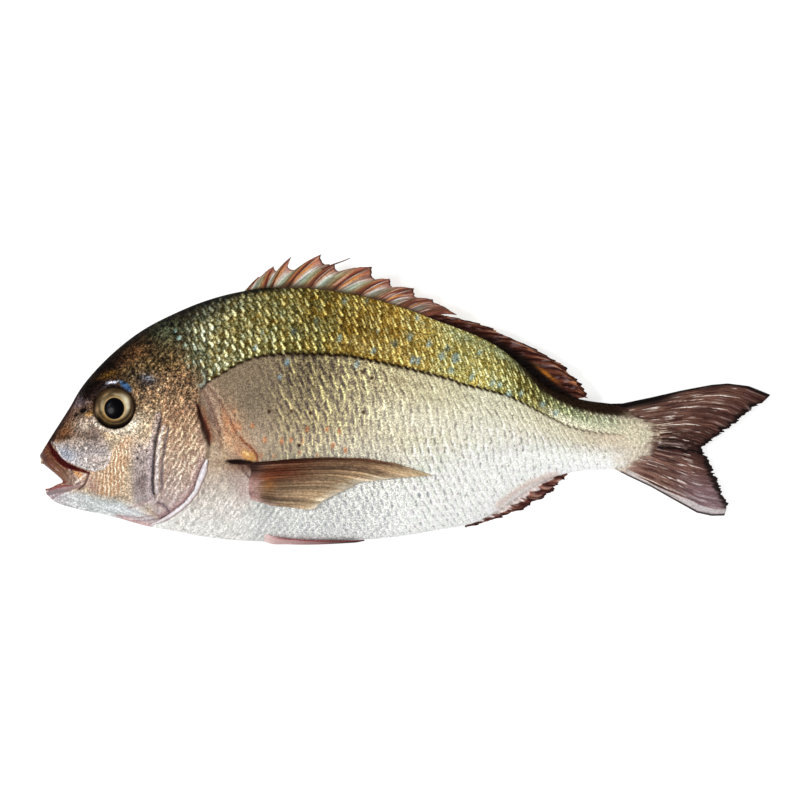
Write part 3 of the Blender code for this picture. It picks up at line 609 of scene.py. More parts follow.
    # ---------------- shoulder behind the gill cover
    across, along = u * .93 - v * .36, u * .36 + v * .93
    veins = crisp(clouds(across * .30, along * .075, 59, 2), 3.5)
    shoulder = bell(spot(u, v, 231, 427, 13, 27, -18), 0.85) * ~above
    coat.over((194, 136, 98), shoulder * (0.68 + 0.4 * fine))
    coat.over((226, 184, 140), .55 * shoulder * ease(veins, .2, .9))
    coat.over((162, 96, 66), .42 * shoulder * ease(veins, -.3, -.95))
    mottled = clouds(x * 1.4, w * 0.8, 55)
    strip = bell(spot(u, v, 213, 410, 9, 32, -14), 0.95) * ~above
    coat.over((146, 120, 106), 0.85 * strip * (0.8 + .4 * mottled))
    coat.c *= (1 + .15 * strip * veins)[..., None]
    # two folds of the shoulder: painted highlight along each ridge and painted shade in a band just in front of it
    for points, wide in (([(205, 386), (212, 398), (219, 414), (224, 432), (226, 448)], 1.3),
                         ([(211, 384), (222, 398), (233, 416), (241, 434)], 1.1)):
        fold_d = near_line(u + 1.4 * mottled, v, points)[0]
        coat.over((204, 176, 150), 0.70 * bell(fold_d, wide) * ~above * (.75 + .5 * mottled))
        coat.over((110, 80, 68), 0.55 * bell(near_line(u + 3.4 + 1.4 * mottled, v, points)[0], wide + .6) * ~above)
    nip = crisp(clouds(across * 1.0, along * .42, 331, 2), 4.0)
    coat.c *= (1 + .11 * nip * bell(spot(u, v, 232, 430, 30, 42), 1.0) * ~above)[..., None]
    blot = crisp(clouds(across * .20 + 9, along * .11, 313, 2), 4.0)
    coat.over((182, 114, 76), 0.42 * ease(blot, .1, .8) * bell(spot(u, v, 233, 424, 12, 27, -20), .9) * ~above)
    coat.over((214, 182, 150), 0.55 * ease(blot, -.3, -.9) * bell(spot(u, v, 228, 424, 15, 32, -18), .9) * ~above)
    throat = ease(u, 262, 236) * ease(v, 452, 470) * ease(u, 150, 176)
    c2 = tint(v, (455, (196, 166, 134)), (478, (200, 184, 170)), (505, (214, 206, 198)), (530, (226, 224, 218)), (545, (228, 226, 220)))
    c2 = c2 * (1 + 0.10 * mottled + 0.06 * grain)[..., None]
    c2 = c2 * (0.90 + 0.22 * np.clip(shine2, 0, 1))[..., None]
    coat.blend(c2, throat * 0.75)
    drop = -w / UNIT
    slant = crisp(clouds((u * .64 - drop * .77) * .16, (u * .77 + drop * .64) * .52, 333, 2), 4.0)
    coat.c *= (1 + .08 * slant * ease(v, 468, 486) * ease(u, 306, 262) * ease(u, 172, 188) * ~above)[..., None]
    coat.over((150, 128, 122), 0.5 * throat * bell(spot(u, v, 240, 478, 14, 12), .9))
    coat.over((170, 118, 92), 0.75 * bell(spot(u, v, 247, 452, 15, 9, 18), .9) * (0.8 + .4 * mottled))
    coat.over((226, 196, 140), 0.6 * ease(crisp(fine, 3), .2, .9) * bell(spot(u, v, 224, 448, 16, 12, -10), .9))
    # painted shade: brown shading of the fold round the gap over the pectoral fin
    coat.over((112, 80, 64), 0.65 * bell(spot(u, v, 240, 465.5, 17, 6.5, 8), .9))
    coat.over((190, 164, 158), 0.7 * bell(spot(u, v, 246, 488, 8, 13, 6), .9))
    flap = spot(u, v, 250, 455.2, 8.0, 5.6, 28)
    coat.over((206, 150, 86), 0.88 * ease(flap + .7 * mottled, 1.25, .55))
    # painted highlight along the top edge of the gold flap
    coat.over((240, 206, 146), 0.75 * ease(spot(u, v, 248.5, 453.6, 6.0, 1.8, 34) + .8 * fine, 1.2, .4))
    coat.over((122, 58, 32), 0.85 * bell(near_line(u, v, [(241, 437), (248, 444), (254, 449), (258, 455), (258.5, 461)])[0] + .8 * fine, 1.2))
    # painted shadow: black in the gap between the pectoral fin and the flank, and a dark line along the fin's root
    coat.over((22, 12, 10), 0.97 * ease(spot(u, v, 241, 461.8, 14.0, 3.0, 3) + .16 * mottled, 1.2, .75))
    coat.over((40, 22, 18), 0.90 * ease(spot(u, v, 254, 465.5, 9.0, 3.2, 18) + .2 * mottled, 1.25, .6))
    coat.over((84, 54, 46), 0.85 * bell(spot(u, v, 251, 468, 12, 4.2, 16), .9) * (0.75 + .5 * mottled))
    coat.over((60, 38, 34), 0.75 * bell(near_line(u, v, [(243, 467), (247, 474), (254, 480)])[0], 1.2) * (0.7 + .6 * fine))
    relief = relief + 0.10 * throat * noise(x * 1.3, w * 1.3, 57)

    for points, wide in (([(199.5, 499), (196.5, 506), (193, 512)], 1.3), ([(207, 482), (205.5, 488), (203.5, 493)], 1.1), ([(176, 523), (180, 522)], .9)):
        coat.over((112, 102, 98), 0.65 * bell(near_line(u + 1.2 * mottled, v, points)[0], wide) * (.7 + .6 * fine) * ~above)
    root = near_line(u, v, [(498, 505), (511, 494.5), (524, 486), (540, 479), (556, 474.5)])[0]
    coat.over((216, 188, 176), 0.62 * bell(root + 1.5 * mottled, 3.4) * ~above)

    # ---------------- the head
    head = head_colours(u, v, x, y, w, fine, grain)
    soft = ramp(v, (375, 13), (392, 4))
    in_head = 1 - ease(u - head_limit(v) + 0.5 * soft * noise(x * .5, w * .5, 51), -soft, soft * .7)
    coat.blend(head, in_head)
    relief = relief + head_relief(u, v, x, y, w, fine, grain)
    # gill slit: painted shade, dark in the opening and brown in a band just behind it
    slit_d, slit_t = near_line(u, v, [(197.8, 401), (200.4, 412), (204.6, 424), (208.6, 434), (210.6, 445)])
    behind = u > np.interp(v, [401, 412, 424, 434, 445], [197.8, 200.4, 204.6, 208.6, 210.6])
    coat.over((136, 84, 56), 0.65 * bell(slit_d - 4.0, 3.0) * behind * ease(slit_t, .02, .2) * ease(slit_t, 1., .9) * (.8 + .4 * mottled))
    slit = ease(slit_d + .5 * fine, ramp(slit_t, (0, 1.2), (.3, 2.7), (.7, 3.7), (1, 1.4)), ramp(slit_t, (0, .1), (.3, 1.2), (.7, 1.8), (1, .3)))
    coat.over((54, 27, 20), 0.93 * slit)
    coat.over((112, 46, 32), 0.55 * bell(slit_d - 2.4, .9) * behind * ease(slit_t, .3, .5) * ease(slit_t, 1., .8))
    ring = spot(u, v, 200, 378, 7.0, 9.5, -14)
    coat.over((104, 88, 66), 0.65 * ease(ring, 1.0, .6))
    coat.over((44, 38, 30), 0.75 * bell(ring - 1.12, .16) * ease(u, 197, 203))
    coat.over((150, 178, 170), 0.85 * bell(ring - .86, .17) * ease(u + .35 * (v - 378), 198, 203) * (0.7 + .5 * fine))
    skirt = fin_share(u, v)
    stub = tint(v, (396, (34, 19, 17)), (408, (62, 40, 34)), (424, (98, 72, 63)), (442, (94, 67, 60)), (462, (134, 108, 98)), (480, (196, 180, 172)))
    end_tone = tint(v, (404, (150, 130, 110)), (416, (206, 194, 168)), (440, (226, 217, 190)), (460, (214, 200, 180)), (476, (222, 212, 202)))
    e3, d3, r3, s3 = overlap(u / 5.2, v / 6.4, 29)
    end_tone = end_tone * (0.93 + .10 * bell(straight(e3, d3) - .4, .2) * (1 + s3) - .07 * r3 + .10 * fine)[..., None]
    end_tone = end_tone * (1.00 + .05 * crisp(fine, 3))[..., None]
    coat.blend(end_tone, 0.92 * ease(u + 6 * noise(x * .4, w * .5, 35), 606, 640) * ease(share_up * above, ramp(u, (618, .8), (642, 1.3)), ramp(u, (618, .5), (642, 1.05))))
    comb = noise(u * .10, v * 1.15 + .5 * noise(u * .1, v * .1, 30), 36)
    coat.blend(stub * (1 + .2 * clouds(x * .9, w * 1.6, 28) + .30 * comb)[..., None], skirt)
    coat.over((214, 200, 178), 0.55 * skirt * ease(comb, .04, .40) * ease(v, 416, 425) * ease(v, 456, 446))
    coat.over((56, 36, 32), 0.25 * skirt * ease(comb, -.12, -.5))
    # painted light: brightens the last few units of the stem's rounded end, so that its shading does not show as a dark
    # arc
    coat.light(1 + .30 * ease(u, 656.0, 659.5) * ease(v, 412, 420))
    fleck = np.where(above, ramp(u, (560, 1.35), (615, .85), (640, .45)), ramp(share_down, (.1, 1.30), (.4, .90), (.9, .72)) * ramp(u, (240, .62), (280, .80), (310, 1.1), (380, 1.05), (430, .52), (620, .45)))
    fleck = fleck + 0.35 * bell(spot(u, v, 228, 436, 22, 34), 1.0) * ~above
    fleck = fleck + (ramp(v, (345, 1.5), (380, 1.75), (405, 1.5), (450, 1.2), (480, 1.0), (500, .6)) - fleck) * in_head
    fleck = fleck * (1 - .9 * ease(spot(u, v, 127.5, 386.6, 8.4, 3.4, 38), 1.5, .9))
    return relief, coat, fleck


def head_limit(v):
    """u where the head's colours give way to the scaled body."""
    return np.interp(v, [290, 325, 345, 365, 380, 386, 398, 412, 430, 444, 456, 471, 488, 502, 512, 522, 545],
                     [196, 190, 186, 192, 204, 203, 201, 200.5, 203.5, 209, 208.5, 202, 197, 187, 174, 158, 130])


def head_colours(u, v, x, y, w, fine, grain):
    broad = clouds(x * 0.16, w * 0.16, 61)
    mott = clouds(x * 0.62, w * 0.62, 70)
    coat = Coat(np.shape(x), (150, 124, 100))
    # golden brown zone behind and over the eye
    speckle = clouds(x * 2.1, w * 2.1, 62, 2)
    post = tint(v, (380, (112, 84, 60)), (405, (132, 104, 76)), (430, (176, 150, 118)), (450, (196, 172, 142)))
    coat.blend(post * (1 + 0.50 * speckle + 0.30 * mott)[..., None], np.ones_like(u))
    # nape: dark brown, blackish green higher up
    back_line = 399.5 - body_at(x)[0] / UNIT
    below_back = v - back_line
    nape = tint(below_back, (0, (8, 4, 2)), (10, (24, 17, 9)), (24, (50, 38, 22)), (46, (90, 70, 44)), (66, (116, 90, 62)))
    nape = nape * (.93 + 0.40 * speckle + 0.40 * mott + 0.22 * broad)[..., None] * np.array([.98, 1.0, 1.0])
    coat.blend(nape, ease(below_back, 74, 36) * ease(u, 96, 124))
    green = bell(spot(u, v, 168, 332, 24, 15, -30), 0.9)
    coat.over((86, 98, 74), 0.80 * green * (0.7 + 0.5 * speckle))
    brown = bell(spot(u, v, 132, 356, 30, 11, -28), 0.9)
    coat.over((74, 46, 27), 0.7 * brown)
    golden = bell(spot(u, v, 170, 366, 26, 10, 12), .9)
    coat.over((122, 94, 52), 0.42 * golden * (0.6 + 0.7 * ease(speckle, 0, .5)))
    coat.c *= (1 - .14 * golden)[..., None]
    spark = clouds(x * 1.5, w * 1.5, 69, 2)
    glint = ease(spark, .18, .5) * np.maximum(bell(spot(u, v, 166, 400, 34, 30), 1.0), .5 * bell(spot(u, v, 150, 372, 44, 20), 1.0))
    coat.over((234, 214, 168), 0.78 * glint)
    coat.over((48, 32, 20), 0.6 * ease(-spark, .25, .6) * ease(v, 452, 420))
    for gu, gv, size in ((180, 338, 3.0), (186, 346, 2.8), (176, 331, 2.0), (190, 356, 2.0)):
        coat.over((150, 186, 182), 0.8 * ease(spot(u, v, gu, gv, size, size * .9), 1.25, .3))
    # black patch over the temple with blue grey lights
    coat.over((40, 36, 40), 0.8 * bell(spot(u, v, 148, 380, 12, 7, 12), .95))
    coat.over((142, 154, 168), 0.7 * bell(spot(u, v, 149, 378, 8, 3.4, 14), .8) * (0.6 + fine))
    # forehead in front of the eye: nearly black, then brown
    front = ease(u, 134, 104) * ease(v, 418, 398)
    fore = tint(below_back, (0, (6, 2, 1)), (8, (9, 4, 2)), (17, (18, 9, 6)), (28, (42, 28, 22)))
    coat.blend(fore * (1 + 0.45 * speckle + 0.5 * mott)[..., None], front)
    coat.over((158, 138, 134), 0.50 * bell(spot(u, v, 88, 402.5, 6, 3.2, -20), .9) * (0.7 + 0.6 * speckle))
    coat.over((120, 100, 110), 0.5 * bell(spot(u, v, 80, 404, 7, 5, -50), .9))
    coat.over((92, 64, 24), 0.7 * bell(spot(u, v, 108, 375, 16, 4, -14), .9))
    # snout
    snout = ease(u, 104, 90) * ease(v, 404, 416) * ease(v, 452, 436)
    coat.blend(np.array((76, 52, 39)) * (1 + 0.5 * speckle + 0.85 * mott)[..., None], 0.95 * snout)
    coat.over((24, 9, 6), 0.95 * bell(below_back, 7.0) * ease(v, 384, 400) * ease(v, 452, 440))
    coat.over((140, 84, 42), 0.80 * bell(spot(u, v, 68, 430, 11, 5.5, -48), .9) * (0.8 + 0.4 * speckle))
    coat.over((196, 130, 40), 0.75 * bell(spot(u, v, 91, 414, 5, 2.4, -20), 1.0))
    silver = bell(spot(u, v, 86, 425, 14, 10, -12), .95)
    coat.blend(np.array((190, 172, 152)) * (1 + .30 * speckle + .22 * mott)[..., None], 0.92 * silver)
    coat.over((112, 94, 92), 0.8 * bell(spot(u, v, 97.5, 433, 6, 10, -18), .9) * (0.7 + .6 * mott))
    coat.over((210, 190, 196), 0.5 * bell(spot(u, v, 79, 401, 4, 9, 28), .9) * (0.6 + .8 * speckle))
    coat.light(1 - .13 * bell(spot(u, v, 68, 430, 13, 9, -48), 1.0))
    # silver plate under the eye
    plate = depth_in(u, v, LACHRYMAL)
    inside = ease(plate, -2.5, 2.0)
    sheen = clouds(x * 1.9, w * 1.9, 64, 2)
    plate_colour = tint(v + (u - 80) * 0.1, (430, (150, 122, 98)), (442, (170, 152, 138)), (454, (182, 173, 169)), (468, (196, 185, 178)))
    plate_colour = plate_colour * (0.88 + 0.38 * sheen + 0.30 * mott)[..., None]
    low_edge = ease(v + 4 * mott + 0.12 * (90 - u), 428, 444)
    coat.blend(plate_colour, ease(plate, -1.0 - 2.5 * ease(u, 92, 106), 3.5 + 4 * ease(u, 92, 106)) * low_edge)
    inside = inside * low_edge
    vein = np.abs(clouds(x * .55 + 3, w * .55, 74))
    coat.over((104, 92, 92), 0.55 * inside * bell(vein, .06) * ease(sheen, .3, -.2))
    coat.over((150, 160, 176), 0.6 * inside * bell(spot(u, v, 68, 454, 13, 7, 35), .9))
    coat.over((136, 118, 112), 0.55 * inside * bell(spot(u, v, 99, 437, 8, 13, -25), .9))
    coat.over((226, 200, 184), 0.5 * inside * bell(spot(u, v, 96, 460, 14, 7, 5), .9))
    # cream glow behind and below the eye
    under = bell(spot(u, v, 134, 430, 23, 11, -32), .92)
    coat.over((208, 192, 168), 0.88 * under * (0.86 + 0.5 * sheen))
    coat.over((238, 230, 208), 0.58 * bell(spot(u, v, 134, 424, 12, 5, -48), .9))
    # cheek: orange gold with small bright scales
    cheek = ease(depth_in(u, v, CHEEK), -4.0, 3.0)
    wob, wob2 = 1.7 * noise(u * .13, v * .11, 82), 1.9 * noise(u * .11, v * .13, 84)
    e, dq, rnd, rnd2 = overlap((u * 0.93 + v * 0.36 + wob) / 4.0, (v * 0.93 - u * 0.36 + wob2) / 5.2, 81, power=2.0)
    lines = bell(straight(e, dq) - .42 + .25 * dq, .16) * (0.4 + .9 * rnd) * ease(np.abs(dq), .95, .5)
    gold = tint(np.clip(lines + .35 * sheen, 0, 1.1), (0, (164, 122, 90)), (.45, (206, 170, 134)), (1.1, (250, 232, 204)))
    gold = gold * np.array([1.05, 1.085, 1.11])
    gold = gold + (np.array((176, 140, 130)) - gold) * (0.6 * ease(u, 104, 90) * ease(v, 468, 482))[..., None]
    coat.blend(gold, cheek * .95)
    coat.over((224, 190, 150), 0.35 * bell(spot(u, v, 146, 440, 12, 20, 20), .9))
    # grey lilac zone in front of the double groove
    lilac = ease(u, 126, 140) * ease(u, 164, 156) * ease(v, 430, 452) * ease(v, 516, 498)
    flow = clouds(x * 0.9, w * 0.35, 65)
    lil = tint(v, (430, (196, 178, 158)), (455, (176, 160, 154)), (480, (160, 147, 144)), (505, (178, 168, 166)))
    coat.blend(lil * (0.96 + 0.26 * flow + 0.12 * grain + .22 * mott)[..., None], lilac * .9)
    coat.over((104, 86, 82), 0.72 * bell(spot(u, v, 143, 484, 8, 16, 4), .9) * (.8 + .5 * mott))
    # gill cover
    cover = ease(depth_in(u, v, OPERCLE), -1.5, 1.5) * ease(v, 392, 412)
    e, dq, rnd, rnd2 = overlap((u * 0.97 + v * 0.24 + 1.2 * wob) / 5.4, (v * 0.97 - u * 0.24 + 1.1 * wob2) / 7.4, 83, power=2.0)
    streaks = bell(straight(e, dq) - .45 - .2 * dq + .10 * sheen, .13 + .10 * rnd2) * np.clip(1.4 * rnd + .05, 0, 1.2) * ease(np.abs(dq), .95, .35) + .22 * sheen
    warm = tint(v, (395, (112, 78, 54)), (425, (150, 112, 86)), (450, (170, 134, 110)), (480, (172, 142, 126)), (510, (184, 162, 154)))
    pale = tint(v, (395, (196, 150, 112)), (425, (226, 190, 150)), (450, (238, 212, 178)), (480, (234, 210, 190)), (510, (222, 202, 196)))
    amount = streaks * ease(v, 522, 496)
    op = warm + (pale - warm) * np.clip(1.45 * amount + .06 + .16 * fine, 0, 1.15)[..., None]
    op *= (0.925 + 0.10 * clouds(x * .5, w * .3, 67) + .12 * mott)[..., None] * np.array([1.0, 1.015, 1.02])
    coat.blend(op, cover)
    edge_d, edge_t = near_line(u, v, OPERCLE_EDGE)
    inner = within(u, v, OPERCLE)
    rimband = ease(edge_d + 2.5 * mott, 8.0, 2.5) * inner * ease(edge_t, .40, .55)
    coat.over((178, 148, 142), 0.70 * rimband)
    coat.over((118, 84, 84), 0.55 * bell(edge_d - 1.4, 1.1) * inner * ease(edge_t, .42, .52))
    coat.over((164, 134, 120), 0.35 * ease(edge_d, 9, 4) * inner * ease(edge_t, .22, .32) * ease(edge_t, .5, .40))
    # double groove of the preopercle and its ridge
    groove_d, groove_t = near_line(u, v, PREOPERCLE)
    coat.over((44, 38, 42), 0.92 * bell(groove_d, 1.55 + .5 * sheen) * ease(groove_t, 0.0, .08) * ease(groove_t, 1.0, .86))
    twin_d, twin_t = near_line(u, v, [(p[0] + 4.8, p[1] + 2) for p in PREOPERCLE_RIDGE])
    coat.over((86, 74, 80), 0.75 * bell(twin_d, 1.4) * ease(twin_t, 1.0, .85))
    ridge_d, ridge_t = near_line(u, v, PREOPERCLE_RIDGE)
    coat.over((226, 218, 218), 0.90 * bell(ridge_d, 1.55) * (0.8 + .5 * sheen))
    coat.over((196, 176, 176), 0.6 * bell(near_line(u, v, [(p[0] - 3.6, p[1]) for p in PREOPERCLE])[0], 2.4))
    # chin and the folds under the head
    belly_line = 399.5 - body_at(x)[1] / UNIT
    over_belly = belly_line - v
    chin = ease(v, ramp(u, (50, 486), (85, 487.5), (110, 494), (140, 501.5), (160, 515)),
                ramp(u, (50, 493), (85, 497), (110, 506), (140, 513), (160, 524)))
    chin_colour = tint(u, (48, (198, 182, 182)), (66, (200, 196, 194)), (90, (203, 206, 201)), (130, (208, 209, 206)), (165, (204, 188, 184)))
    lie = crisp(clouds((u * .93 + v * .36) * .09, (v * .93 - u * .36) * .42, 312, 2), 3.0)
    coat.blend(chin_colour * (1 + 0.10 * lie + 0.07 * clouds(x * .8, w * .8, 68) + .04 * grain)[..., None], chin)
    coat.over((176, 196, 200), 0.4 * bell(spot(u, v, 118, 502, 16, 4.5, 12), .9))
    hem = bell(v - ramp(u, (85, 487.5), (96, 492.5), (110, 497.5), (124, 498.5)), 2.8) * ease(u, 84, 92) * ease(u, 134, 122)
    coat.over((98, 88, 84), 0.72 * hem * ease(crisp(sheen, 3), -.2, .7))
    coat.over((124, 96, 94), 0.60 * bell(spot(u, v, 94, 483, 8, 8), .9) * ease(sheen, -.1, .4))
    coat.over((208, 150, 144), 0.62 * bell(over_belly - 1.0, 2.8) * ease(u, 108, 128) * ease(u, 176, 150))
    for points, width in (([(118, 516), (140, 518), (163, 514), (178, 507)], 1.1), ([(134, 521), (150, 521), (168, 519)], .9),
                          ([(158, 503), (166, 507), (172, 512)], 1.2), ([(130, 508), (144, 503), (153, 497)], 1.0)):
        coat.over((150, 120, 122), 0.6 * bell(near_line(u, v, points)[0], width))
    coat.over((84, 72, 76), 0.75 * bell(near_line(u, v, [(159, 502), (164, 503.5), (168, 507), (170, 511)])[0] + .5 * sheen, 1.1))
    # painted shade behind the hind edge of the gill cover and in the slit, the red slit and the white membrane
    outside = ~inner
    coat.over((92, 58, 42), 0.80 * bell(edge_d - 3.5, 4.0) * outside * ease(edge_t, .06, .14) * ease(edge_t, .50, .42) * (0.7 + .6 * mott))
    coat.over((36, 18, 13), 0.92 * ease(spot(u, v, 204.8, 433, 3.6, 10.5, -14) + .45 * mott, 1.3, .6) * outside)
    coat.over((126, 48, 34), 0.75 * bell(edge_d - 2.2, 1.4) * outside * ease(edge_t, .12, .2) * ease(edge_t, .5, .42) * ease(sheen, -.1, .3))
    coat.over((96, 68, 66), 0.55 * bell(edge_d, 1.0) * ease(edge_t, .44, .52) * ease(edge_t, 1.0, .93))
    # jaw joint: silver folds with an orange hollow between them
    coat.over((206, 178, 160), 0.9 * ease(spot(u, v, 79, 478, 12, 9, 20), 1.15, .8))
    coat.over((198, 132, 68), 0.9 * bell(spot(u, v, 78.0, 473.0, 9.5, 3.3, 36), .9) * (.85 + .4 * sheen))
    coat.over((104, 84, 78), 0.8 * bell(near_line(u, v, [(72, 470), (75, 478), (79, 485)])[0], 1.2))
    coat.over((240, 226, 214), 0.85 * bell(near_line(u, v, [(69.5, 466), (71.5, 475), (75.5, 484)])[0], 1.1))
    coat.over((244, 230, 214), 0.85 * bell(near_line(u, v, [(75, 483), (80, 480), (86.5, 474)])[0], 1.0))
    coat.over((76, 54, 52), 0.85 * bell(near_line(u, v, [(89, 474), (88, 479), (85, 485), (80, 489)])[0], 1.2))
    # the upper lip reaches from the gape to the groove
    band_d, band_t = near_line(u, v, LIP_BAND)
    lip_tone = tint(band_t, (0, (80, 45, 35)), (.25, (104, 65, 47)), (.5, (117, 76, 56)), (.75, (134, 99, 79)), (1, (154, 127, 111)))
    lip_tone = lip_tone * (1 + .16 * sheen + .14 * mott)[..., None]
    coat.blend(lip_tone, ease(band_d, 7.0, 5.6))
    # painted highlight: a pale streak on the upper lip
    coat.over((208, 180, 146), 0.6 * bell(spot(u, v, 60, 465.5, 5, 1.3, 46), .9))
    gape_d, _ = near_line(x, y, GAPE, closed=True)
    coat.over((104, 46, 38), 0.75 * ease(gape_d, 1.5, .6) * ease(v, 476, 482))
    coat.over((84, 50, 38), 0.55 * ease(gape_d, 1.5, .6) * ease(v, 482, 476))
    # dark red groove between the lip and the plate
    lip_d, lip_t = near_line(u, v, LIP_GROOVE)
    coat.over((74, 15, 14), 0.97 * ease(lip_d, ramp(lip_t, (0, 1.5), (.2, 3.4), (.45, 3.9), (.7, 3.0), (1, 1.2)),
                                        ramp(lip_t, (0, .5), (.2, 2.0), (.45, 2.4), (.7, 1.7), (1, .4))) * (v > 441))
    coat.over((30, 8, 9), 0.6 * bell(lip_d + .5 * sheen, 1.2) * ease(lip_t, .9, .7))
    plate_edge, _ = near_line(u, v, LACHRYMAL_EDGE)
    coat.over((224, 222, 226), 0.6 * bell(plate_edge - 1.2, 1.0) * (plate > 0))
    coat.over((70, 50, 50), 0.55 * bell(plate_edge + .4, 1.1) * (plate < 0) * ease(u, 112, 100))
    # nostrils
    coat.over((14, 8, 8), 0.97 * ease(spot(u, v, 84.3, 410.2, 3.2, 2.1, -35), 1.35, .7))
    coat.over((20, 10, 8), 0.85 * ease(spot(u, v, 76.5, 415, 2.4, 1.3, -35), 1.4, .6))
    coat.over((36, 14, 10), 0.8 * ease(spot(u, v, 55, 437, 2.0, 1.6), 1.4, .6))
    # rim of the eye socket, with painted highlights: a cream arc under the eye and a bluish white streak above it
    ring = np.hypot(u - 115.5, v - 406.8)
    coat.over((38, 24, 14), 0.85 * ease(ring, 23.5, 20.5) * ease(v, 432, 404))
    coat.over((26, 20, 18), 0.9 * ease(ring, 23.0, 21.0) * ease(v, 420, 428))
    coat.over((240, 228, 210), 0.90 * bell(ring - 24.2 - 1.6 * sheen, 1.8) * ease(v, 412, 424) * ease(u, 130, 120) * (0.8 + .6 * sheen))
    coat.over((46, 74, 108), 0.95 * ease(spot(u, v, 127.5, 386.6, 8.4, 3.4, 38), 1.2, .6))
    coat.over((104, 140, 180), 0.5 * bell(spot(u, v, 125.5, 384.6, 6, 1.1, 38), .9))
    coat.over((210, 216, 232), 0.85 * ease(spot(u, v, 113, 382.6, 7.5, 1.8, -8) + .4 * noise(u * .9, v * .9, 3), 1.2, .5))
    coat.over((20, 16, 22), 0.7 * bell(spot(u, v, 112, 387.5, 13, 3.2, 6), .9))
    # dark and golden flecks, strongest on the nape
    bits = crisp(clouds(x * 1.15, w * 1.15, 301, 2), 5.0)
    bits2 = crisp(clouds(x * .55, w * .55, 305, 2), 4.0)
    amount = ramp(v, (330, .86), (380, .66), (400, .48), (430, .24), (460, .13), (490, .08), (515, .05)) * (0.6 + .4 * ease(ring, 19, 25))
    amount = amount * (1 - .72 * cover * ease(v, 405, 425)) * (1 - .85 * cheek)
    coat.c *= (1 + amount * (0.62 * bits + 0.38 * bits2))[..., None] * np.array([1.0, 1.01, 1.03])
    crease = near_line(u, v, [(51, 499), (57, 495.5), (66, 491), (75, 487), (83, 481)])[0]
    coat.over((140, 112, 116), 0.75 * bell(crease, 1.0))
    coat.over((128, 116, 116), 0.45 * ease(np.abs(noise(u * .22 + v * .5, v * .16 - u * .09, 311)), .16, .04) * chin * ease(u, 128, 110))
    # spots of pigment on the cheek
    for su, sv, size in ((140.6, 446, 1.2), (139, 452, 1.1), (138.6, 458, 1.5), (155, 493, 1.3), (148, 451, .9)):
        coat.over((44, 34, 36), 0.85 * ease(spot(u, v, su, sv, size), 1.4, .5))
    return coat.c


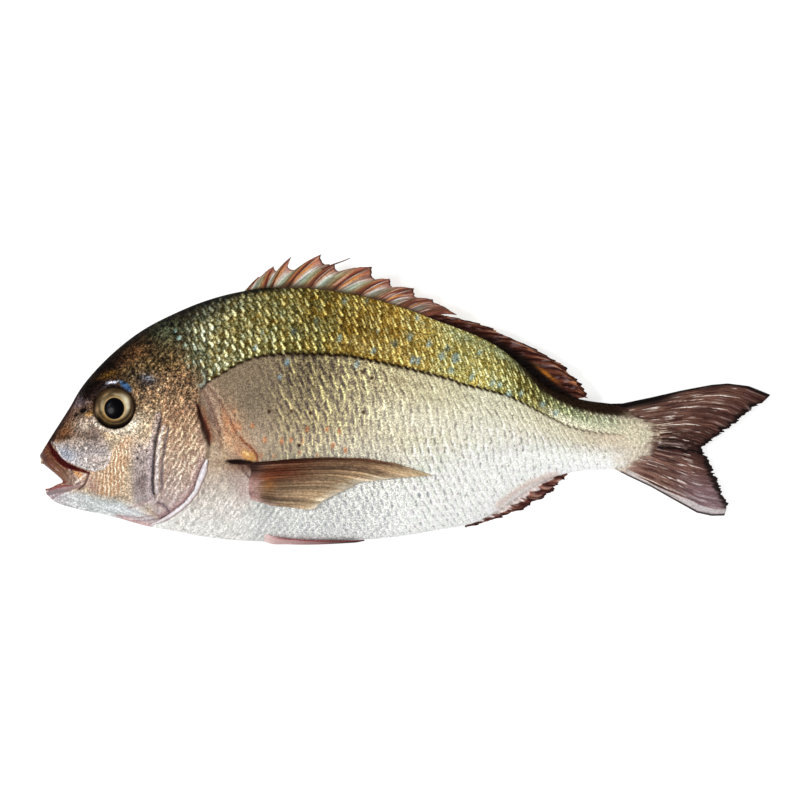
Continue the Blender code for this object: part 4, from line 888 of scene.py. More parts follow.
def head_relief(u, v, x, y, w, fine, grain):
    """Height in mm of the bones, grooves and folds of the head."""
    h = np.zeros(np.shape(u))
    inner = within(u, v, OPERCLE)
    edge_d, edge_t = near_line(u, v, OPERCLE_EDGE)
    along = ease(edge_t, .06, .14)
    plate = np.where(inner, 1.0, 0.0) * ease(depth_in(u, v, OPERCLE), 0, 14)
    raise_edge = np.where(inner, bell(edge_d, 11) * 1.15, -0.9 * bell(edge_d, 5.5)) * along
    h += raise_edge
    # distance to the line of the gill membrane
    mem_d, mem_t = near_line(u, v, MEMBRANE)
    # grooves and ridge of the preopercle
    groove_d, groove_t = near_line(u, v, PREOPERCLE)
    h -= 0.85 * bell(groove_d, 1.5) * ease(groove_t, 0, .10) * ease(groove_t, 1.0, .85)
    ridge_d, _ = near_line(u, v, PREOPERCLE_RIDGE)
    h += 0.55 * bell(ridge_d, 2.1)
    twin_d, _ = near_line(u, v, [(p[0] + 4.8, p[1] + 2) for p in PREOPERCLE_RIDGE])
    h -= 0.45 * bell(twin_d, 1.7)
    h += 0.5 * bell(near_line(u, v, [(p[0] - 4.5, p[1]) for p in PREOPERCLE])[0], 3.0)
    # plate under the eye stands over the lip
    plate_d = depth_in(u, v, LACHRYMAL)
    h += 0.9 * ease(plate_d, -1.2, 2.2) * ease(v, 438, 456)
    lip_d, lip_t = near_line(u, v, LIP_GROOVE)
    h -= 1.3 * bell(lip_d, 2.8) * (plate_d < 0.5)
    h += 0.6 * bell(near_line(u, v, LIP_BAND)[0], 4.0)
    # cheek muscle and hollow round it
    h += 0.7 * ease(depth_in(u, v, CHEEK), -3, 7)
    h -= 0.5 * bell(spot(u, v, 141, 470, 6, 26, 4), .9)
    # jaw joint folds
    h += 0.9 * bell(near_line(u, v, [(69.5, 466), (71.5, 475), (75.5, 484)])[0], 1.7)
    h += 0.7 * bell(near_line(u, v, [(75, 483), (80, 480), (86.5, 474)])[0], 1.5)
    h -= 1.2 * bell(spot(u, v, 78.5, 474.5, 5, 3, 36), .9)
    h -= 1.0 * bell(near_line(u, v, [(89, 474), (88, 479), (85, 485), (80, 489)])[0], 1.6)
    h += 0.5 * bell(near_line(u, v, [(91, 476), (90, 481), (86, 487)])[0], 2.2)
    # folds of the branchiostegal skin under the head
    for points in ([(118, 516), (140, 518), (163, 514), (178, 507)], [(134, 521), (150, 521), (168, 519)],
                   [(158, 503), (166, 507), (172, 512)]):
        h -= 0.45 * bell(near_line(u, v, points)[0], 1.5)
    # nostrils
    h -= 1.3 * ease(spot(u, v, 84.3, 410.2, 3.2, 2.1, -35), 1.3, .5)
    h += 0.35 * bell(spot(u, v, 84.3, 410.2, 3.2, 2.1, -35) - 1.5, .35)
    h -= 0.7 * ease(spot(u, v, 76.5, 415, 2.4, 1.3, -35), 1.3, .5)
    # ridge of bone over the eye and rim of the socket
    ring = np.hypot(x - EYE_X, y - EYE_Y)
    h += 0.65 * bell(ring - 14.2, 1.6)
    h += 0.5 * bell(spot(u, v, 140, 392, 24, 5, 24), .9)
    # uneven bone and skin
    head = 1 - ease(u - head_limit(v), -4, 4)
    h += head * (0.10 * clouds(x * .5, w * .5, 66) + 0.06 * fine)
    # cheek and gill cover scales
    e, dq, rnd, _ = overlap((u * 0.93 + v * 0.36) / 4.3, (v * 0.93 - u * 0.36) / 4.6, 81, power=2.0)
    h += 0.14 * (1 - e) * ease(depth_in(u, v, CHEEK), -2, 3)
    e, dq, rnd, _ = overlap((u * 0.97 + v * 0.20) / 5.6, (v * 0.97 - u * 0.20) / 7.6, 83, power=2.0)
    h += 0.15 * (1 - e) * inner * ease(v, 505, 485)
    # hollow behind the gill cover and the flap over the pectoral base
    h -= 0.9 * bell(spot(u, v, 206, 426, 5, 22, -10), .9) * ~inner
    h += 0.7 * bell(spot(u, v, 251, 455, 8, 6, 30), .9)
    h -= 1.6 * bell(spot(u, v, 239, 464, 11, 2.6, 8), .9)
    # nape muscle groove over the gill cover
    h += 0.35 * bell(spot(u, v, 203, 376, 7, 9, -10) - 1.0, .3)
    return h


# ---------------------------------------------------------------- meshes
def make_object(name, co, faces, material, tone=None, normals=None, maps=None, values=None):
    """Mesh object from points in millimetres of the fish and lists of faces."""
    co = np.asarray(co, float).reshape(-1, 3)
    world = np.column_stack([(co[:, 0] - MID_X), (co[:, 1] - MID_Y), co[:, 2]]) * MM
    mesh = bpy.data.meshes.new(name)
    mesh.vertices.add(len(world))
    mesh.vertices.foreach_set("co", world.astype(np.float32).ravel())
    corners = np.concatenate([f.ravel() for f in faces]).astype(np.int32)
    sizes = np.concatenate([np.full(len(f), f.shape[1]) for f in faces])
    starts = np.concatenate([[0], np.cumsum(sizes)[:-1]]).astype(np.int32)
    mesh.loops.add(len(corners))
    mesh.loops.foreach_set("vertex_index", corners)
    mesh.polygons.add(len(sizes))
    mesh.polygons.foreach_set("loop_start", starts)
    mesh.polygons.foreach_set("use_smooth", np.ones(len(sizes), bool))
    mesh.update(calc_edges=True)
    if tone is not None:
        layer = mesh.attributes.new("tone", "FLOAT_COLOR", "POINT")
        rgba = np.ones((len(world), 4), np.float32)
        rgba[:, :3] = tone.reshape(-1, 3)
        layer.data.foreach_set("color", rgba.ravel())
    values = dict(values or {})
    values.setdefault("fleck", np.full(len(world), 0.5))
    for key, value in values.items():
        layer = mesh.attributes.new(key, "FLOAT", "POINT")
        layer.data.foreach_set("value", np.asarray(value, np.float32).ravel())
    for key, uv in (maps or {}).items():
        layer = mesh.uv_layers.new(name=key)
        flat = np.asarray(uv, np.float32).reshape(-1, 2)[corners]
        layer.data.foreach_set("uv", flat.ravel())
    if normals is not None:
        n = normals.reshape(-1, 3)
        n = n / np.maximum(np.linalg.norm(n, axis=1, keepdims=True), 1e-9)
        mesh.normals_split_custom_set_from_vertices(n.astype(np.float32).tolist())
    mesh.materials.append(material)
    obj = bpy.data.objects.new(name, mesh)
    bpy.context.scene.collection.objects.link(obj)
    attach(obj, "root")
    return obj


def grid_faces(rows, cols, flip=False, start=0):
    i, j = np.meshgrid(np.arange(rows - 1), np.arange(cols - 1), indexing="ij")
    a = start + i * cols + j
    quads = np.stack([a, a + cols, a + cols + 1, a + 1], axis=-1).reshape(-1, 4)
    return quads[:, ::-1] if flip else quads


def grid_normals(p):
    du = np.gradient(p, axis=0)
    dv = np.gradient(p, axis=1)
    n = np.cross(du, dv)
    return n / np.maximum(np.linalg.norm(n, axis=-1, keepdims=True), 1e-12)


# ---------------------------------------------------------------- materials
def new_material(name):
    mat = bpy.data.materials.new(name)
    mat.use_nodes = True
    tree = mat.node_tree
    return mat, tree, tree.nodes["Principled BSDF"]


def link(tree, out, into):
    tree.links.new(out, into)


def add_node(tree, kind, **inputs):
    n = tree.nodes.new(kind)
    for key, value in inputs.items():
        n.inputs[key].default_value = value
    return n


def math_node(tree, operation, a, b=None, c=None, clamp=False):
    n = tree.nodes.new("ShaderNodeMath")
    n.operation = operation
    n.use_clamp = clamp
    for k, value in enumerate((a, b, c)):
        if value is None:
            continue
        if isinstance(value, (int, float)):
            n.inputs[k].default_value = value
        else:
            link(tree, value, n.inputs[k])
    return n.outputs[0]


def mix_colour(tree, factor, a, b, blend="MIX"):
    n = tree.nodes.new("ShaderNodeMix")
    n.data_type = "RGBA"
    n.blend_type = blend
    for key, value in (("Factor", factor), ("A", a), ("B", b)):
        socket = [s for s in n.inputs if s.name == key and s.enabled and
                  (s.type == "VALUE" if key == "Factor" else s.type == "RGBA")][0]
        if isinstance(value, (int, float)):
            socket.default_value = value
        elif isinstance(value, tuple):
            socket.default_value = value
        else:
            link(tree, value, socket)
    return [s for s in n.outputs if s.type == "RGBA"][0]


def painted(name, grain_size, grain_depth, rough, rough_swing, bump, coat=0.0,
            coat_rough=0.1, specular=0.5, metallic=0.0, subsurface=0.0):
    """Skin or fin: the painted tone, broken up by fine grain, with a wet finish."""
    mat, tree, shader = new_material(name)
    tone = tree.nodes.new("ShaderNodeAttribute")
    tone.attribute_name = "tone"
    where = tree.nodes.new("ShaderNodeTexCoord")
    fine = add_node(tree, "ShaderNodeTexNoise", Scale=grain_size, Detail=3.0, Roughness=0.6)
    link(tree, where.outputs["Object"], fine.inputs["Vector"])
    cells = add_node(tree, "ShaderNodeTexVoronoi", Scale=grain_size * 0.9)
    link(tree, where.outputs["Object"], cells.inputs["Vector"])
    # fine flecks, as deep as the mesh says
    spread = tree.nodes.new("ShaderNodeMapRange")
    spread.interpolation_type = "SMOOTHSTEP"
    for key, value in (("From Min", 0.40), ("From Max", 0.60), ("To Min", -1.0), ("To Max", 1.0)):
        spread.inputs[key].default_value = value
    link(tree, fine.outputs["Fac"], spread.inputs["Value"])
    depth = tree.nodes.new("ShaderNodeAttribute")
    depth.attribute_name = "fleck"
    deep = math_node(tree, "MULTIPLY", depth.outputs["Fac"], grain_depth)
    swing = math_node(tree, "MULTIPLY_ADD", spread.outputs[0], deep, 1.0)
    speck = math_node(tree, "MULTIPLY_ADD", cells.outputs["Distance"], 0.4 * grain_depth, 1 - 0.2 * grain_depth)
    factor = math_node(tree, "MULTIPLY", swing, speck)
    grey = tree.nodes.new("ShaderNodeCombineColor")
    for k in range(3):
        link(tree, factor, grey.inputs[k])
    colour = mix_colour(tree, 1.0, tone.outputs["Color"], grey.outputs["Color"], "MULTIPLY")
    link(tree, colour, shader.inputs["Base Color"])
    broad = add_node(tree, "ShaderNodeTexNoise", Scale=grain_size * 0.12, Detail=2.0)
    link(tree, where.outputs["Object"], broad.inputs["Vector"])
    rough_out = math_node(tree, "MULTIPLY_ADD", broad.outputs["Fac"], 2 * rough_swing, rough - rough_swing, clamp=True)
    link(tree, rough_out, shader.inputs["Roughness"])
    if bump:
        rise = tree.nodes.new("ShaderNodeBump")
        rise.inputs["Strength"].default_value = 0.6
        rise.inputs["Distance"].default_value = bump
        height = math_node(tree, "ADD", fine.outputs["Fac"], math_node(tree, "MULTIPLY", cells.outputs["Distance"], 0.6))
        link(tree, height, rise.inputs["Height"])
        link(tree, rise.outputs["Normal"], shader.inputs["Normal"])
        link(tree, rise.outputs["Normal"], shader.inputs["Coat Normal"])
    shader.inputs["Coat Weight"].default_value = coat
    shader.inputs["Coat Roughness"].default_value = coat_rough
    shader.inputs["Specular IOR Level"].default_value = specular
    shader.inputs["Metallic"].default_value = metallic
    if subsurface:
        shader.inputs["Subsurface Weight"].default_value = subsurface
        shader.inputs["Subsurface Radius"].default_value = (0.002, 0.0012, 0.0008)
        shader.inputs["Subsurface Scale"].default_value = 1.0
    return mat


SKIN = painted("wet_scaled_skin", 1150.0, 0.42, 0.46, 0.12, 0.00014, coat=0.025, coat_rough=0.20, specular=0.01)
FIN = painted("wet_fin_skin", 1250.0, 0.34, 0.48, 0.10, 0.00012, coat=0.025, coat_rough=0.22, specular=0.03)
LIP = painted("wet_lip_skin", 1600.0, 0.12, 0.34, 0.08, 0.00010, coat=0.16, coat_rough=0.15, specular=0.15)
FLESH = painted("wet_mouth_flesh", 1300.0, 0.18, 0.30, 0.08, 0.00015, coat=0.5, coat_rough=0.12, specular=0.5)
EYE = painted("wet_eye", 2600.0, 0.05, 0.20, 0.03, 0.0, coat=0.018, coat_rough=0.10, specular=0.012)
TOOTH = painted("small_teeth", 2600.0, 0.08, 0.30, 0.05, 0.0, coat=0.3, coat_rough=0.15)


# ---------------------------------------------------------------- skin
def stations():
    s = np.linspace(0, 1, 236)
    head = 0.5 + (SPLIT_HEAD - 0.5) * (0.72 * s + 0.28 * s ** 2)
    front = np.linspace(SPLIT_HEAD, SPLIT_REAR, 262)
    rear = np.linspace(SPLIT_REAR, 356.6, 264)
    return np.concatenate([head, front[1:], rear[1:]]), len(head) - 1, len(head) + len(front) - 2


def side_grid(xs, side, columns):
    """Even points round each ring from the back to the belly, with their arcs."""
    turns = np.linspace(math.pi / 2, -math.pi / 2, 721)
    count = len(xs)
    y = np.zeros((count, columns))
    z = np.zeros((count, columns))
    arc = np.zeros((count, columns))
    arc_line = np.zeros((count, columns))
    line = lateral_y(xs)
    for k, x in enumerate(xs):
        ry, rz = ring_point(np.full(721, x), turns, side)
        at = np.concatenate([[0], np.cumsum(np.hypot(np.diff(ry), np.diff(rz)))])
        want = np.linspace(0, at[-1], columns)
        turn = np.interp(want, at, turns)
        y[k], z[k] = ring_point(np.full(columns, x), turn, side)
        arc[k] = want
        arc_line[k] = np.interp(-line[k], -ry, at)
    return y, z, arc, arc_line


def build_skin(side, columns, every=1):
    label = "left" if side > 0 else "right"
    xs, head_end, front_end = stations()
    kept = sorted(set(range(0, len(xs), every)) | {head_end, front_end, len(xs) - 1})
    xs, head_end, front_end = xs[kept], kept.index(head_end), kept.index(front_end)
    y, z, arc, arc_line = side_grid(xs, side, columns)
    x = np.repeat(xs[:, None], columns, axis=1)
    base = np.stack([x, y, z], axis=-1)
    normal = grid_normals(base) * (1.0 if side > 0 else -1.0)
    flip = np.mean(normal[:, columns // 2, 2]) * side < 0
    if flip:
        normal = -normal
    # the two sides meet along the back and the belly, so their normals agree there
    for j in (0, -1):
        normal[:, j, 2] = 0
        normal[:, j] /= np.maximum(np.linalg.norm(normal[:, j], axis=-1, keepdims=True), 1e-9)
    back, belly, _, _ = body_at(x)
    line = lateral_y(x)
    share_up = np.clip((y - line) / np.maximum(back - line, 1e-3), 0, 1)
    share_down = np.clip((line - y) / np.maximum(line - belly, 1e-3), 0, 1)
    relief, coat, fleck = skin_field(x, y, arc, arc_line, share_up, share_down)
    # the relief fades out at the edges, the snout and the tail
    total = arc[:, -1:]
    fade = ease(arc, 0, 2.5) * ease(total - arc, 0, 2.5) * ease(x, 1.0, 5.0) * (1 - ease(x, 348, 356))
    relief = relief * fade
    # the skin dips into the socket under the globe
    ring = np.hypot(x - EYE_X, y - EYE_Y)
    socket = ease(ring, 12.3, 10.6)
    relief = relief * (1 - socket) - 3.6 * socket
    # the skin: the base surface moved out along its normals by the relief
    skin = base + normal * relief[..., None]
    skin[..., 2] = np.maximum(skin[..., 2], 0.0 if side < 0 else -1.0)

    # trim the gape: points just inside it move to its edge, faces beyond it go
    gape = within(x, y, GAPE)
    near = np.zeros_like(gape)
    out = ~gape
    near[1:] |= out[:-1]
    near[:-1] |= out[1:]
    near[:, 1:] |= out[:, :-1]
    near[:, :-1] |= out[:, 1:]
    rim = gape & near
    if rim.any():
        pts = np.array(GAPE + GAPE[:1], float)
        fine_edge = np.concatenate([np.linspace(a, b, 400) for a, b in zip(pts[:-1], pts[1:])])
        for i, j in zip(*np.nonzero(rim)):
            d = np.hypot(fine_edge[:, 0] - x[i, j], fine_edge[:, 1] - y[i, j])
            ex, ey = fine_edge[d.argmin()]
            mid = float(middle_plane(np.array([ex]))[0])
            skin[i, j] = (ex, ey, mid + side * float(half_thickness(np.array([ex]), np.array([ey]))[0]))
    lost = gape & ~rim
    full = grid_normals(skin)
    if np.mean(full[:, columns // 2, 2]) * side < 0:
        full = -full
    for j in (0, -1):
        # shared shading normal along the ridge and the belly line
        full[:, j] = normal[:, j]
    tone = coat.linear()
    pieces = []
    for name, first, last in (("head", 0, head_end), ("flank", head_end, front_end), ("stem", front_end, len(xs) - 1)):
        rows = slice(first, last + 1)
        p = skin[rows]
        n_rows = p.shape[0]
        # each piece fills its own bake map
        uv = np.stack([0.01 + 0.98 * (x[rows] - xs[first]) / (xs[last] - xs[first]),
                       0.01 + 0.98 * arc[rows] / arc[rows].max()], axis=-1)
        faces = grid_faces(n_rows, columns, flip=side > 0)
        drop = lost[rows].ravel() | (rim[rows].ravel())
        all_in = drop[faces].all(axis=1) | lost[rows].ravel()[faces].any(axis=1)
        faces = faces[~all_in]
        used = np.zeros(n_rows * columns, bool)
        used[faces.ravel()] = True
        index = np.cumsum(used) - 1
        obj = make_object(f"{name}_{label}", p.reshape(-1, 3)[used], [index[faces]], SKIN,
                          tone=tone[rows].reshape(-1, 3)[used], normals=full[rows].reshape(-1, 3)[used],
                          maps={"OFBake": uv.reshape(-1, 2)[used]},
                          values={"fleck": fleck[rows].ravel()[used]})
        pieces.append(obj)
    return pieces


left_skin = build_skin(1, 256)
right_skin = build_skin(-1, 148, every=2)
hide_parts("fish")


# ---------------------------------------------------------------- tubes and sheets
def tube(name, path, radii, material, tone, sides=20, flat=1.0, wrinkle=0.0, seed=0, cap=True):
    """Closed tube along a smooth path, its colour a function of place along and round it."""
    path = np.asarray(path, float)
    n = len(path)
    tangent = np.gradient(path, axis=0)
    tangent /= np.linalg.norm(tangent, axis=1, keepdims=True)
    side_axis = np.cross(tangent, np.tile((0.0, 0.0, 1.0), (n, 1)))
    bad = np.linalg.norm(side_axis, axis=1) < 0.15
    side_axis[bad] = np.cross(tangent[bad], np.tile((0.3, 1.0, 0.0), (bad.sum(), 1)))
    side_axis /= np.linalg.norm(side_axis, axis=1, keepdims=True)
    for k in range(1, n):
        # keeps the frame from turning over along the path
        a = side_axis[k - 1] - tangent[k] * np.dot(side_axis[k - 1], tangent[k])
        side_axis[k] = a / np.linalg.norm(a)
    up_axis = np.cross(side_axis, tangent)
    ang = np.linspace(0, 2 * math.pi, sides, endpoint=False)
    t = np.linspace(0, 1, n)
    T, A = np.meshgrid(t, ang, indexing="ij")
    r = np.asarray(radii, float)[:, None] * (1 + wrinkle * noise(T * n * 0.5, np.cos(A) * 3 + seed, seed + 3))
    p = (path[:, None] + side_axis[:, None] * (np.cos(A) * r)[..., None]
         + up_axis[:, None] * (np.sin(A) * r * flat)[..., None])
    co = p.reshape(-1, 3)
    i, j = np.meshgrid(np.arange(n - 1), np.arange(sides), indexing="ij")
    j2 = (j + 1) % sides
    quads = np.stack([i * sides + j, i * sides + j2, (i + 1) * sides + j2, (i + 1) * sides + j], -1).reshape(-1, 4)
    co = np.vstack([co, path[:1], path[-1:]])
    a, b = len(co) - 2, len(co) - 1
    k = np.arange(sides)
    tri = np.concatenate([np.stack([np.full(sides, a), (k + 1) % sides, k], -1),
                          np.stack([np.full(sides, b), (n - 1) * sides + k, (n - 1) * sides + (k + 1) % sides], -1)])
    colour = tone(T, A, p)
    colour = np.vstack([colour.reshape(-1, 3), colour[0].mean(0)[None], colour[-1].mean(0)[None]])
    return make_object(name, co, [quads, tri], material, tone=colour)


def srgb(colour):
    c = np.clip(colour, 1.5, 252) / 255.0
    return np.where(c <= 0.04045, c / 12.92, ((c + 0.055) / 1.055) ** 2.4)


def fin_sheet(name, place, cols, rows, thick, tone, material=None):
    """Thin closed fin: place(u, v) gives its middle sheet, u across the rays, v along them."""
    u, v = np.meshgrid(np.linspace(0, 1, cols), np.linspace(0, 1, rows), indexing="ij")
    mid = place(u, v)
    n = grid_normals(mid)
    if n[..., 2].mean() < 0:
        n = -n
    t = thick(u, v)[..., None] * 0.5
    top, low = mid + n * t, mid - n * t
    low[..., 2] = np.maximum(low[..., 2], 0.25)
    co = np.concatenate([top.reshape(-1, 3), low.reshape(-1, 3)])
    count = cols * rows
    f1 = grid_faces(cols, rows)
    f2 = grid_faces(cols, rows, flip=True, start=count)
    probe_up = np.cross(top[cols // 2 + 1, rows // 2] - top[cols // 2, rows // 2],
                        top[cols // 2, rows // 2 + 1] - top[cols // 2, rows // 2])[2] > 0
    if not probe_up:
        f1, f2 = f1[:, ::-1], f2[:, ::-1]
    # border loop joins the two faces of the sheet
    idx = np.arange(count).reshape(cols, rows)
    loop = np.concatenate([idx[:, 0], idx[-1, 1:], idx[-2::-1, -1], idx[0, -2:0:-1]])
    nxt = np.roll(loop, -1)
    wall = np.stack([loop, nxt, nxt + count, loop + count], -1)
    if probe_up:
        wall = wall[:, ::-1]
    colour = tone(u, v, mid)
    colour = np.concatenate([colour.reshape(-1, 3), colour.reshape(-1, 3)])
    obj = make_object(name, co, [f1, f2, wall], material or FIN, tone=colour)
    return obj


def walk(points, t):
    pts = np.array(points, float)
    spans = np.hypot(*np.diff(pts, axis=0).T)
    at = np.concatenate([[0], np.cumsum(spans)]) / spans.sum()
    return np.stack([np.interp(t, at, pts[:, k]) for k in (0, 1)], axis=-1)


def patch(top, low, root, margin, u, v):
    u, v = u[..., None], v[..., None]
    t, b = walk(top, v[..., 0]), walk(low, v[..., 0])
    r, m = walk(root, u[..., 0]), walk(margin, u[..., 0])
    c00, c10 = np.array(root[0]), np.array(root[-1])
    c01, c11 = np.array(margin[0]), np.array(margin[-1])
    return ((1 - u) * t + u * b + (1 - v) * r + v * m
            - ((1 - u) * (1 - v) * c00 + u * (1 - v) * c10 + (1 - u) * v * c01 + u * v * c11))


# ---------------------------------------------------------------- dorsal fin
def spiny_columns():
    """Base x, margin point and place between two spines (0 and 1 at a spine)."""
    cols = []
    before, last_tip = SPINES[0][0] - 4.0, None
    for k, (base, low, tip) in enumerate(SPINES):
        start = before + 0.2 * (base - before)
        if last_tip is not None:
            for f in np.linspace(0, 1, 9)[1:]:
                # hollow edge of the membrane behind the last tip
                sag = 0.22 * math.sin(math.pi * f) * math.dist(last_tip, low)
                cols.append((before + (start - before) * f,
                             last_tip[0] + (low[0] - last_tip[0]) * f - (1.5 if k == 3 else 0.35) * sag,
                             last_tip[1] + (low[1] - last_tip[1]) * f - sag, 0.45 * f, k))
        else:
            cols.append((start, low[0], low[1], 0.45, k))
        for f in np.linspace(0, 1, 17)[1:]:
            lift = 0.05 * math.sin(math.pi * f) * math.dist(low, tip)
            cols.append((start + (base - start) * f, low[0] + (tip[0] - low[0]) * f,
                         low[1] + (tip[1] - low[1]) * f + lift, 0.45 + 0.55 * f, k))
        before, last_tip = base, tip
    return np.array(cols)


def dorsal_spiny():
    cols = spiny_columns()
    n = len(cols)
    # base x, margin point, place between spines and spine number of each column
    base_x, mx, my, gap, number = cols.T

    def at(row, u):
        return np.interp(u * (n - 1), np.arange(n), row)

    def place(u, v):
        bx, ex, ey = at(base_x, u), at(mx, u), at(my, u)
        by = body_at(bx)[0] - 2.6
        g = at(gap, u)
        torn = (0.030 * np.abs(noise(u * 210, v * 0, 107)) + 0.035 * np.abs(noise(u * 90, v * 0, 108))) * ease(v, .8, 1.0) * ease(g, .98, .85)
        vv = v - torn
        x = bx + (ex - bx) * vv
        bow = 0.16 * np.hypot(ex - bx, ey - by) * np.sin(math.pi * vv * 0.9)
        y = by + (ey - by) * vv + bow * 0.55
        ripple = 0.55 * np.sin(g * math.pi * 2) * np.sin(math.pi * np.clip(v, 0, 1)) * 1.0
        return np.stack([x, y, middle_plane(bx) * (1 - v) + middle_plane(x) * v + ripple], -1)

    def thick(u, v):
        g = at(gap, u)
        spine = np.exp(-((1 - g) / 0.07) ** 2) + np.exp(-(g / 0.04) ** 2)
        return (0.28 + 1.25 * np.clip(spine, 0, 1)) * (1 - 0.55 * v)

    def tone(u, v, p):
        g = at(gap, u)
        x, y = p[..., 0], p[..., 1]
        f = clouds(u * 160, v * 5, 101)
        coat = Coat(np.shape(u), (0, 0, 0))
        near_tip = v
        coat.c[:] = tint(g, (0.0, (78, 38, 30)), (0.07, (150, 88, 58)), (0.16, (170, 126, 98)), (0.28, (178, 160, 146)),
                         (0.46, (182, 182, 160)), (0.62, (154, 156, 126)), (0.76, (122, 106, 74)),
                         (0.86, (146, 92, 56)), (0.94, (116, 58, 42)), (1.0, (70, 34, 26)))
        fibre = noise(g * 14 + u * 60, v * 2.5, 103)
        coat.over((158, 100, 90), 0.55 * ease(v, .60, .92) * (g > .1))
        late = ease(at(number, u), 5.5, 8.5)
        coat.over((96, 54, 46), 0.75 * late)
        coat.over((206, 170, 150), 0.45 * late * ease(fibre, .2, .7))
        coat.over((70, 46, 36), 0.50 * ease(fibre, -.1, -.6))
        coat.over((226, 220, 214), 0.35 * ease(fibre, .3, .8) * ease(v, .9, .5))
        # painted highlight: a white glint on the membrane between two spines
        coat.over((222, 226, 228), 0.75 * bell(g - .38, .07) * ease(v, .2, .45) * ease(v, .95, .6) * (0.5 + 0.8 * (hashed(at(number, u).round(), u * 0, 5))))
        coat.over((216, 140, 50), 0.6 * bell(g - .12, .05) * ease(v, .1, .3) * ease(v, .85, .5) * ease(fibre, -.4, .2))
        coat.over((118, 146, 138), 0.5 * bell(g - .55, .10) * bell(v - .35, .2))
        edge = ease(v, .93, .985)
        coat.over((58, 30, 26), 0.9 * edge)
        coat.over((58, 44, 30), 0.85 * ease(v, .30, .12))
        coat.light(1.10 + 0.16 * f)
        return coat.linear()

    return fin_sheet("dorsal_spines", place, n * 2, 34, thick, tone)


def folded_fin(name, table, side, rays, colours, seed, sink=2.6, cols=280, rows=44, lean=0.0):
    """Soft fin folded back: rays run almost along the body, ragged at the margin."""
    base = np.array([r[0] for r in table])
    mx = np.array([r[1][0] for r in table])
    my = np.array([r[1][1] for r in table])
    steps = np.linspace(0, 1, len(table))

    def place(u, v):
        bx, ex, ey = np.interp(u, steps, base), np.interp(u, steps, mx), np.interp(u, steps, my)
        body = body_at(bx)
        by = (body[0] - sink) if side > 0 else (body[1] + sink)
        phase = (u - lean * v) * rays + 0.25 * noise(u * 13, v * 2, seed + 3)
        tooth = np.abs(np.mod(phase, 1.0) - 0.5) * 2
        rag = (1.8 * tooth + 1.6 * np.abs(noise(phase * 2.3, u * 0, seed)) + 0.8 * noise(phase * 7, u * 0, seed + 1)) * ease(v, .66, 1.0)
        length = np.hypot(ex - bx, ey - by)
        x = bx + (ex - bx) * v - rag
        bow = side * 0.10 * length * np.sin(math.pi * v)
        y = by + (ey - by) * v + bow - side * rag * 0.35
        fold = 0.9 * np.sin(2 * math.pi * phase) * np.sin(math.pi * np.clip(v * .9 + .05, 0, 1))
        fold += 0.35 * np.sin(2 * math.pi * phase * 3 + 1.0) * v
        return np.stack([x, y, middle_plane(bx) * (1 - v) + middle_plane(np.minimum(x, 400)) * v + fold * 0.7], -1)

    def thick(u, v):
        ray = 0.5 + 0.5 * np.cos(2 * math.pi * u * rays * 2)
        return (0.35 + 0.75 * ray ** 2) * (1 - 0.6 * v)

    def tone(u, v, p):
        return colours(u, v, p, rays, seed, (u - lean * v) * rays + 0.25 * noise(u * 13, v * 2, seed + 3))

    return fin_sheet(name, place, cols, rows, thick, tone)


def soft_dorsal_colours(u, v, p, rays, seed, phase):
    f = clouds(u * 90, v * 4, seed)
    line = 0.5 + 0.5 * np.cos(2 * math.pi * phase)
    hair = noise(phase * 5, v * 3, seed + 5)
    coat = Coat(np.shape(u), (0, 0, 0))
    coat.c[:] = tint(line, (0, (44, 20, 16)), (.6, (76, 38, 28)), (1, (112, 64, 48)))
    coat.over((176, 112, 76), 0.90 * ease(v, .42, .80) * ease(line + .5 * hair, .30, .85))
    coat.over((200, 142, 104), 0.55 * ease(v, .70, .95) * ease(line + .4 * hair, .60, 1.0))
    coat.over((60, 26, 24), 0.55 * ease(hair, -.1, -.6))
    coat.over((206, 170, 150), 0.50 * ease(hair, .25, .7) * ease(v, .35, .7))
    # dark base of the fin, then painted shadow, nearly black, where the folded fin lies over the back
    coat.over((32, 15, 12), 0.80 * ease(v, .48, .22))
    coat.over((8, 5, 4), 0.92 * ease(v, .40, .12) * ease(u, .25, .6))
    coat.over((196, 118, 36), 0.85 * bell(spot(grid_u(p[..., 0]), grid_v(p[..., 1]), 547, 374, 15, 2.2, 38), .9))
    coat.over((176, 160, 166), 0.45 * ease(noise(u * 46, v * 9, 8), .25, .6) * bell(v - .55, .2))
    coat.light(1 + 0.24 * f)
    return coat.linear()


def anal_colours(u, v, p, rays, seed, phase):
    f = clouds(u * 80, v * 4, seed)
    line = 0.5 + 0.5 * np.cos(2 * math.pi * phase)
    hair = noise(phase * 5, v * 3, seed + 5)
    coat = Coat(np.shape(u), (0, 0, 0))
    coat.c[:] = tint(line, (0, (66, 34, 30)), (.6, (104, 62, 52)), (1, (148, 100, 84)))
    coat.over((200, 168, 156), 0.55 * ease(hair, .10, .5) * ease(v, .2, .5))
    coat.over((50, 20, 20), 0.6 * ease(hair, -.1, -.6))
    coat.over((50, 32, 32), 0.75 * ease(v + .06 * f, .70, .92))
    coat.over((236, 226, 222), 0.92 * ease(v + .16 * hair + ramp(u, (0, .0), (.45, .0), (.8, .12)), .47, .37))
    coat.light(1 + 0.2 * f)
    return coat.linear()


dorsal_spiny()
first = [(219.0, (236.0, 47.5))]
folded_fin("dorsal_soft_rays", first + SOFT_DORSAL, 1, 13, soft_dorsal_colours, 120, lean=0.13)
folded_fin("anal_rays", ANAL, -1, 10, anal_colours, 140, cols=200, rows=32, lean=0.10)


def thread_tone(T, A, p):
    coat = Coat(np.shape(T), (96, 62, 54))
    coat.light(1 + 0.15 * noise(T * 20, A, 5))
    return coat.linear()


